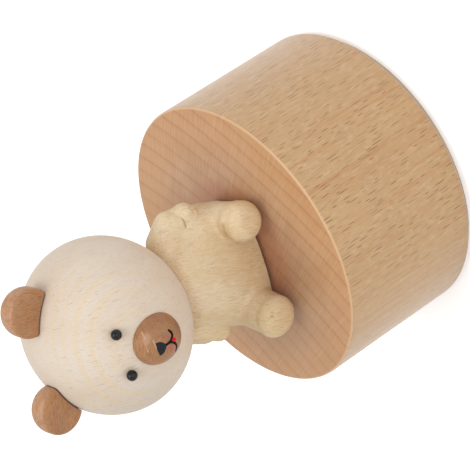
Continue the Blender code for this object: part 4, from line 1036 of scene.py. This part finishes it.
bear = {
    "floor": 41.5,
    # each lump: middle (x, y, height over the floor), half sizes, and how square it is
    "torso": ((0.45, 0, 9.8), (14.95, 9.1, 12.8), 2.2),
    "hips": ((-1.8, 0.3, 4.2), (14.5, 9.0, 9.8), 2.8),
    "shoulders": ((0.6, 0, 18.5), (11.8, 8.0, 6.8), 2.0),
    "melt": 1.6,
    # each arm: shoulder, end of the sleeve, paw, radius of the sleeve and of the paw
    "arms": (
        ((11.4, 0.3, 19.4), (14.3, 0.1, 16.2), (15.2, -1.2, 12.3), 3.8, 3.15),
        ((-10.4, 0.3, 19.6), (-12.1, 0.0, 16.4), (-14.4, -1.0, 13.1), 4.05, 2.9),
    ),
    # each leg: hip, sole, radius of the leg and of the foot, length of the foot
    "legs": (
        ((10.0, -2.0), (12.1, -14.8), 4.4, 4.75, 7.4),
        ((-11.2, -2.0), (-13.5, -16.1), 4.95, 5.1, 5.6),
    ),
    # how softly each joins the body
    "valleys": {"sleeve": 1.0, "paw": 0.5, "leg": 1.2, "foot": 0.5},
    "footEase": 3.0,
    # each carved groove: points in mm, width, depth
    "grooves": (
        (((16.1, -11.7, 48.5), (14.9, -11.5, 50.0), (13.4, -11.3, 50.6), (11.1, -11.1, 50.8),
          (8.4, -10.3, 49.8), (6.2, -9.5, 48.4), (4.6, -9.1, 45.3), (4.2, -8.8, 42.3)), 0.9, 0.5),
        (((-9.2, -11.6, 44.4), (-9.3, -12.0, 47.4), (-10.4, -11.8, 49.4), (-11.7, -11.7, 50.3),
          (-13.1, -11.8, 50.8), (-14.7, -11.9, 50.8)), 0.9, 0.45),
        (sleeveCrease, 0.45, 0.45),
        (pawCrease, 0.5, 0.4),
        (((-17.4, 0.4, 57.2), (-16.9, -1.6, 57.2), (-16.0, -3.0, 56.8), (-14.6, -3.7, 56.5)), 0.5, 0.18),
        (((-11.0, -16.0, 49.6), (-11.1, -16.1, 49.3)), 0.5, 0.35),
    ),
    "voxel": 0.5,
    "slides": 4,
    # for each slide: how far apart the slope is measured, and the least steepness trusted
    "probe": 0.05,
    "leastSlope": 0.2,
    # rough balls: how many on a limb, and how far the foot's stay inside it
    "ballsPerLimb": 7,
    "footInset": (0.5, 0.8, 0.95),
    # the thread's hole: radius, from and to what height
    "sleeve": (3.4, 36.5, 51.4),
    "headGap": 0.3,
    "cutBlock": 80.0,
}


def egg(points, centre, size, square):
    # rough distance to an egg shape, squarer as the last number grows
    flat = np.abs((points - np.array(centre)) / np.array(size))
    reach = np.maximum((flat ** square).sum(axis=1), 1e-9) ** (1 / square)
    slope = np.linalg.norm(flat ** (square - 1) / np.array(size), axis=1) * reach ** (1 - square)
    return (reach - 1) / np.maximum(slope, 1e-6)


def sausage(points, start, end, radius):
    start, end = np.array(start, float), np.array(end, float)
    way = end - start
    share = np.clip((points - start) @ way / (way @ way), 0, 1)
    return np.linalg.norm(points - start - share[:, None] * way, axis=1) - radius


def roundedPeg(points, start, end, radius, ease):
    # a round peg with eased ends
    start, end = np.array(start, float), np.array(end, float)
    way = (end - start) / np.linalg.norm(end - start)
    along = (points - start) @ way
    across = np.linalg.norm(points - start - along[:, None] * way, axis=1)
    half = np.linalg.norm(end - start) / 2
    box = np.stack([across - (radius - ease), np.abs(along - half) - (half - ease)], 1)
    outside = np.linalg.norm(np.maximum(box, 0), axis=1)
    return outside + np.minimum(box.max(axis=1), 0) - ease


def melt(first, second, width):
    # joins two shapes with a soft valley
    share = np.clip(0.5 + 0.5 * (second - first) / width, 0, 1)
    return second + (first - second) * share - width * share * (1 - share)


def onBody(spot):
    return Vector((spot[0], spot[1], bear["floor"] + spot[2]))


def limbs():
    # sleeves, paws, legs and feet: kind, start, end, radius
    found = []
    for *spots, armRadius, pawRadius in bear["arms"]:
        shoulder, elbow, paw = [onBody(spot) for spot in spots]
        found += [("sleeve", shoulder, elbow, armRadius), ("paw", elbow, paw, pawRadius)]
    for hip, sole, legRadius, footRadius, length in bear["legs"]:
        start, end = Vector(hip), Vector(sole)
        back = (start - end).normalized()
        hip, ankle = [onBody((*spot, legRadius)) for spot in (start, end + back * footRadius)]
        heel, toe = [onBody((*spot, footRadius)) for spot in (end + back * length, end)]
        found += [("leg", hip, ankle, legRadius), ("foot", heel, toe, footRadius)]
    return found


def bodyField(points):
    shape = None
    for part in ("torso", "hips", "shoulders"):
        middle, size, square = bear[part]
        lump = egg(points, onBody(middle), size, square)
        shape = lump if shape is None else melt(shape, lump, bear["melt"])
    for kind, start, end, radius in limbs():
        if kind == "foot":
            limb = roundedPeg(points, start, end, radius, bear["footEase"])
        else:
            limb = sausage(points, start, end, radius)
        shape = melt(shape, limb, bear["valleys"][kind])
    for line, width, depth in bear["grooves"]:
        gaps = [sausage(points, start, end, 0) for start, end in zip(line, line[1:])]
        shape = shape + depth * np.exp(-(np.min(gaps, axis=0) / width) ** 2)
    return shape


def reskin(piece):
    skin = piece.modifiers.new("skin", "REMESH")
    skin.mode = "VOXEL"
    skin.voxel_size = bear["voxel"] * mm
    cutAway(piece)


def slideOntoField(piece):
    # moves every point of the mesh onto the field's surface
    flat = np.zeros(len(piece.data.vertices) * 3)
    piece.data.vertices.foreach_get("co", flat)
    points = flat.reshape(-1, 3) / mm
    probe = bear["probe"]
    for _ in range(bear["slides"]):
        value = bodyField(points)
        slope = np.stack([
            (bodyField(points + shift) - bodyField(points - shift)) / (2 * probe)
            for shift in np.eye(3) * probe
        ], 1)
        steepness = np.maximum((slope ** 2).sum(axis=1), bear["leastSlope"])
        points = points - slope * (value / steepness)[:, None]
    piece.data.vertices.foreach_set("co", (points * mm).ravel())
    piece.data.update()


def makeBody():
    # a rough skin of balls slides onto the field, then a fresh skin of that does so again
    balls = [(onBody(bear[part][0]), bear[part][1]) for part in ("torso", "hips", "shoulders")]
    last = bear["ballsPerLimb"] - 1
    for kind, start, end, radius in limbs():
        if kind == "foot":
            middle, reach, slim = bear["footInset"]
            start, end, radius = start.lerp(end, middle), end + (start - end) * reach, radius * slim
        balls += [(start.lerp(end, step / last), (radius,) * 3) for step in range(last + 1)]
    rough = bmesh.new()
    for centre, size in balls:
        placed = Matrix.Translation(centre) @ Matrix.Diagonal((*size, 1))
        bmesh.ops.create_icosphere(rough, subdivisions=4, radius=1, matrix=placed)
    piece = toPiece(rough, "carvedBody")
    for _ in range(2):
        reskin(piece)
        slideOntoField(piece)

    below = bmesh.new()
    block = bear["cutBlock"]
    low = Matrix.Translation((0, 0, bear["floor"] - block / 2))
    bmesh.ops.create_cube(below, size=block, matrix=low)
    radius, start, end = bear["sleeve"]
    sleeve = rod("sleeveHole", radius, (0, 0, start), (0, 0, end), 40)
    cutAway(piece, toPiece(below, "floorCut"), headTool("headSeat", bear["headGap"]), sleeve, dowelTool())
    dress(piece, bodyFinish(), "carved_wood", "bear_body")


# Materials for the pieces that stay as the CAD has them

def dressMovement():
    finishes = {slot: metalFinish(*metal) for slot, metal in metals.items()}
    finishes["nylon"] = nylonFinish()
    finishes["plywood"] = plywoodFinish()
    finishes["felt"] = feltFinish()
    finishes["beech"] = brownFinish("beechDowel", (1.3, 1.4, 63), (0, 0, 1), (1, 0, 0))
    slots = {part["node"]: part["material_slot"] for part in frame["record"]["subparts"]}
    for name, node in nodes.items():
        if slots[name] in finishes and name != "base_shell":
            for index in range(len(node.data.materials)):
                node.data.materials[index] = finishes[slots[name]]


# Floor, light and camera

light = {
    "world": 0.58,
    # each lamp: name, place in m, width and power
    "lamps": (
        ("aboveBear", (0.22, 0.02, 0.84), 0.5, 2.6),
        ("besideCamera", (0.26, -0.75, 0.42), 0.7, 1.85),
    ),
    "aim": (0.0, 0.0, 0.05),
    "floorRadius": 3000,
    "floorDrop": 0.1,
    "floorGlow": 0.42,
}

# the camera was fitted to the outline of the cylinder in the photograph
camera = {
    "spot": (0.271699, -0.503333, 0.378284),
    "turn": (-0.748359, 0.8036619, -1.992242),
    "lens": 218.605,
    "sensor": 36,
    "clip": (0.01, 10),
}


def seenDirectly(tree):
    # camera, mirror and glass rays see the plain white studio
    path = put(tree, "LightPath").outputs
    direct = calc("MAXIMUM", path["Is Camera Ray"], path["Is Glossy Ray"])
    return calc("MAXIMUM", direct, path["Is Transmission Ray"])


def makeStudio():
    world = bpy.data.worlds.new("studio")
    world.use_nodes = True
    tree = world.node_tree
    back = tree.nodes["Background"]
    back.inputs["Color"].default_value = (1, 1, 1, 1)
    feed(back.inputs["Strength"], fade(seenDirectly(tree), 0.0, 1.0, light["world"], 1.0))
    bpy.context.scene.world = world

    for name, spot, size, power in light["lamps"]:
        lamp = bpy.data.lights.new(name, "AREA")
        lamp.shape = "DISK"
        lamp.size = size
        lamp.energy = power
        holder = newObject(name, lamp)
        holder.location = spot
        holder.rotation_euler = (Vector(light["aim"]) - Vector(spot)).to_track_quat("-Z", "Y").to_euler()

    shape = bmesh.new()
    bmesh.ops.create_circle(shape, cap_ends=True, segments=96, radius=light["floorRadius"])
    floor = toPiece(shape, "studioFloor")
    floor.location.z = -light["floorDrop"] * mm
    material, tree, sockets = newMaterial("paleFloor")
    grain = noise(ownPlace(tree), (0.02, 0.02, 0.02))
    fill(sockets, {
        "Base Color": blend(grain, paint(247, 247, 247), paint(250, 250, 250)),
        "Roughness": 0.9,
        "Specular IOR Level": 0.0,
        "Emission Color": blend(seenDirectly(tree), (0, 0, 0, 1), (1, 1, 1, 1)),
        "Emission Strength": light["floorGlow"],
    })
    floor.data.materials.append(material)


def makeCamera():
    data = bpy.data.cameras.new("photoCamera")
    data.sensor_width = camera["sensor"]
    data.lens = camera["lens"]
    data.clip_start, data.clip_end = camera["clip"]
    holder = newObject("photoCamera", data)
    holder.location = camera["spot"]
    holder.rotation_euler = camera["turn"]
    bpy.context.scene.camera = holder


makeBase()
print("base done")
makeHead()
makeEars()
makeMuzzle()
makeFace()
print("head, ears, muzzle and face done")
makeBody()
dressMovement()
print("movement dressed")
makeStudio()
makeCamera()
bpy.context.scene.view_settings.view_transform = "Standard"
print("studio and camera done")
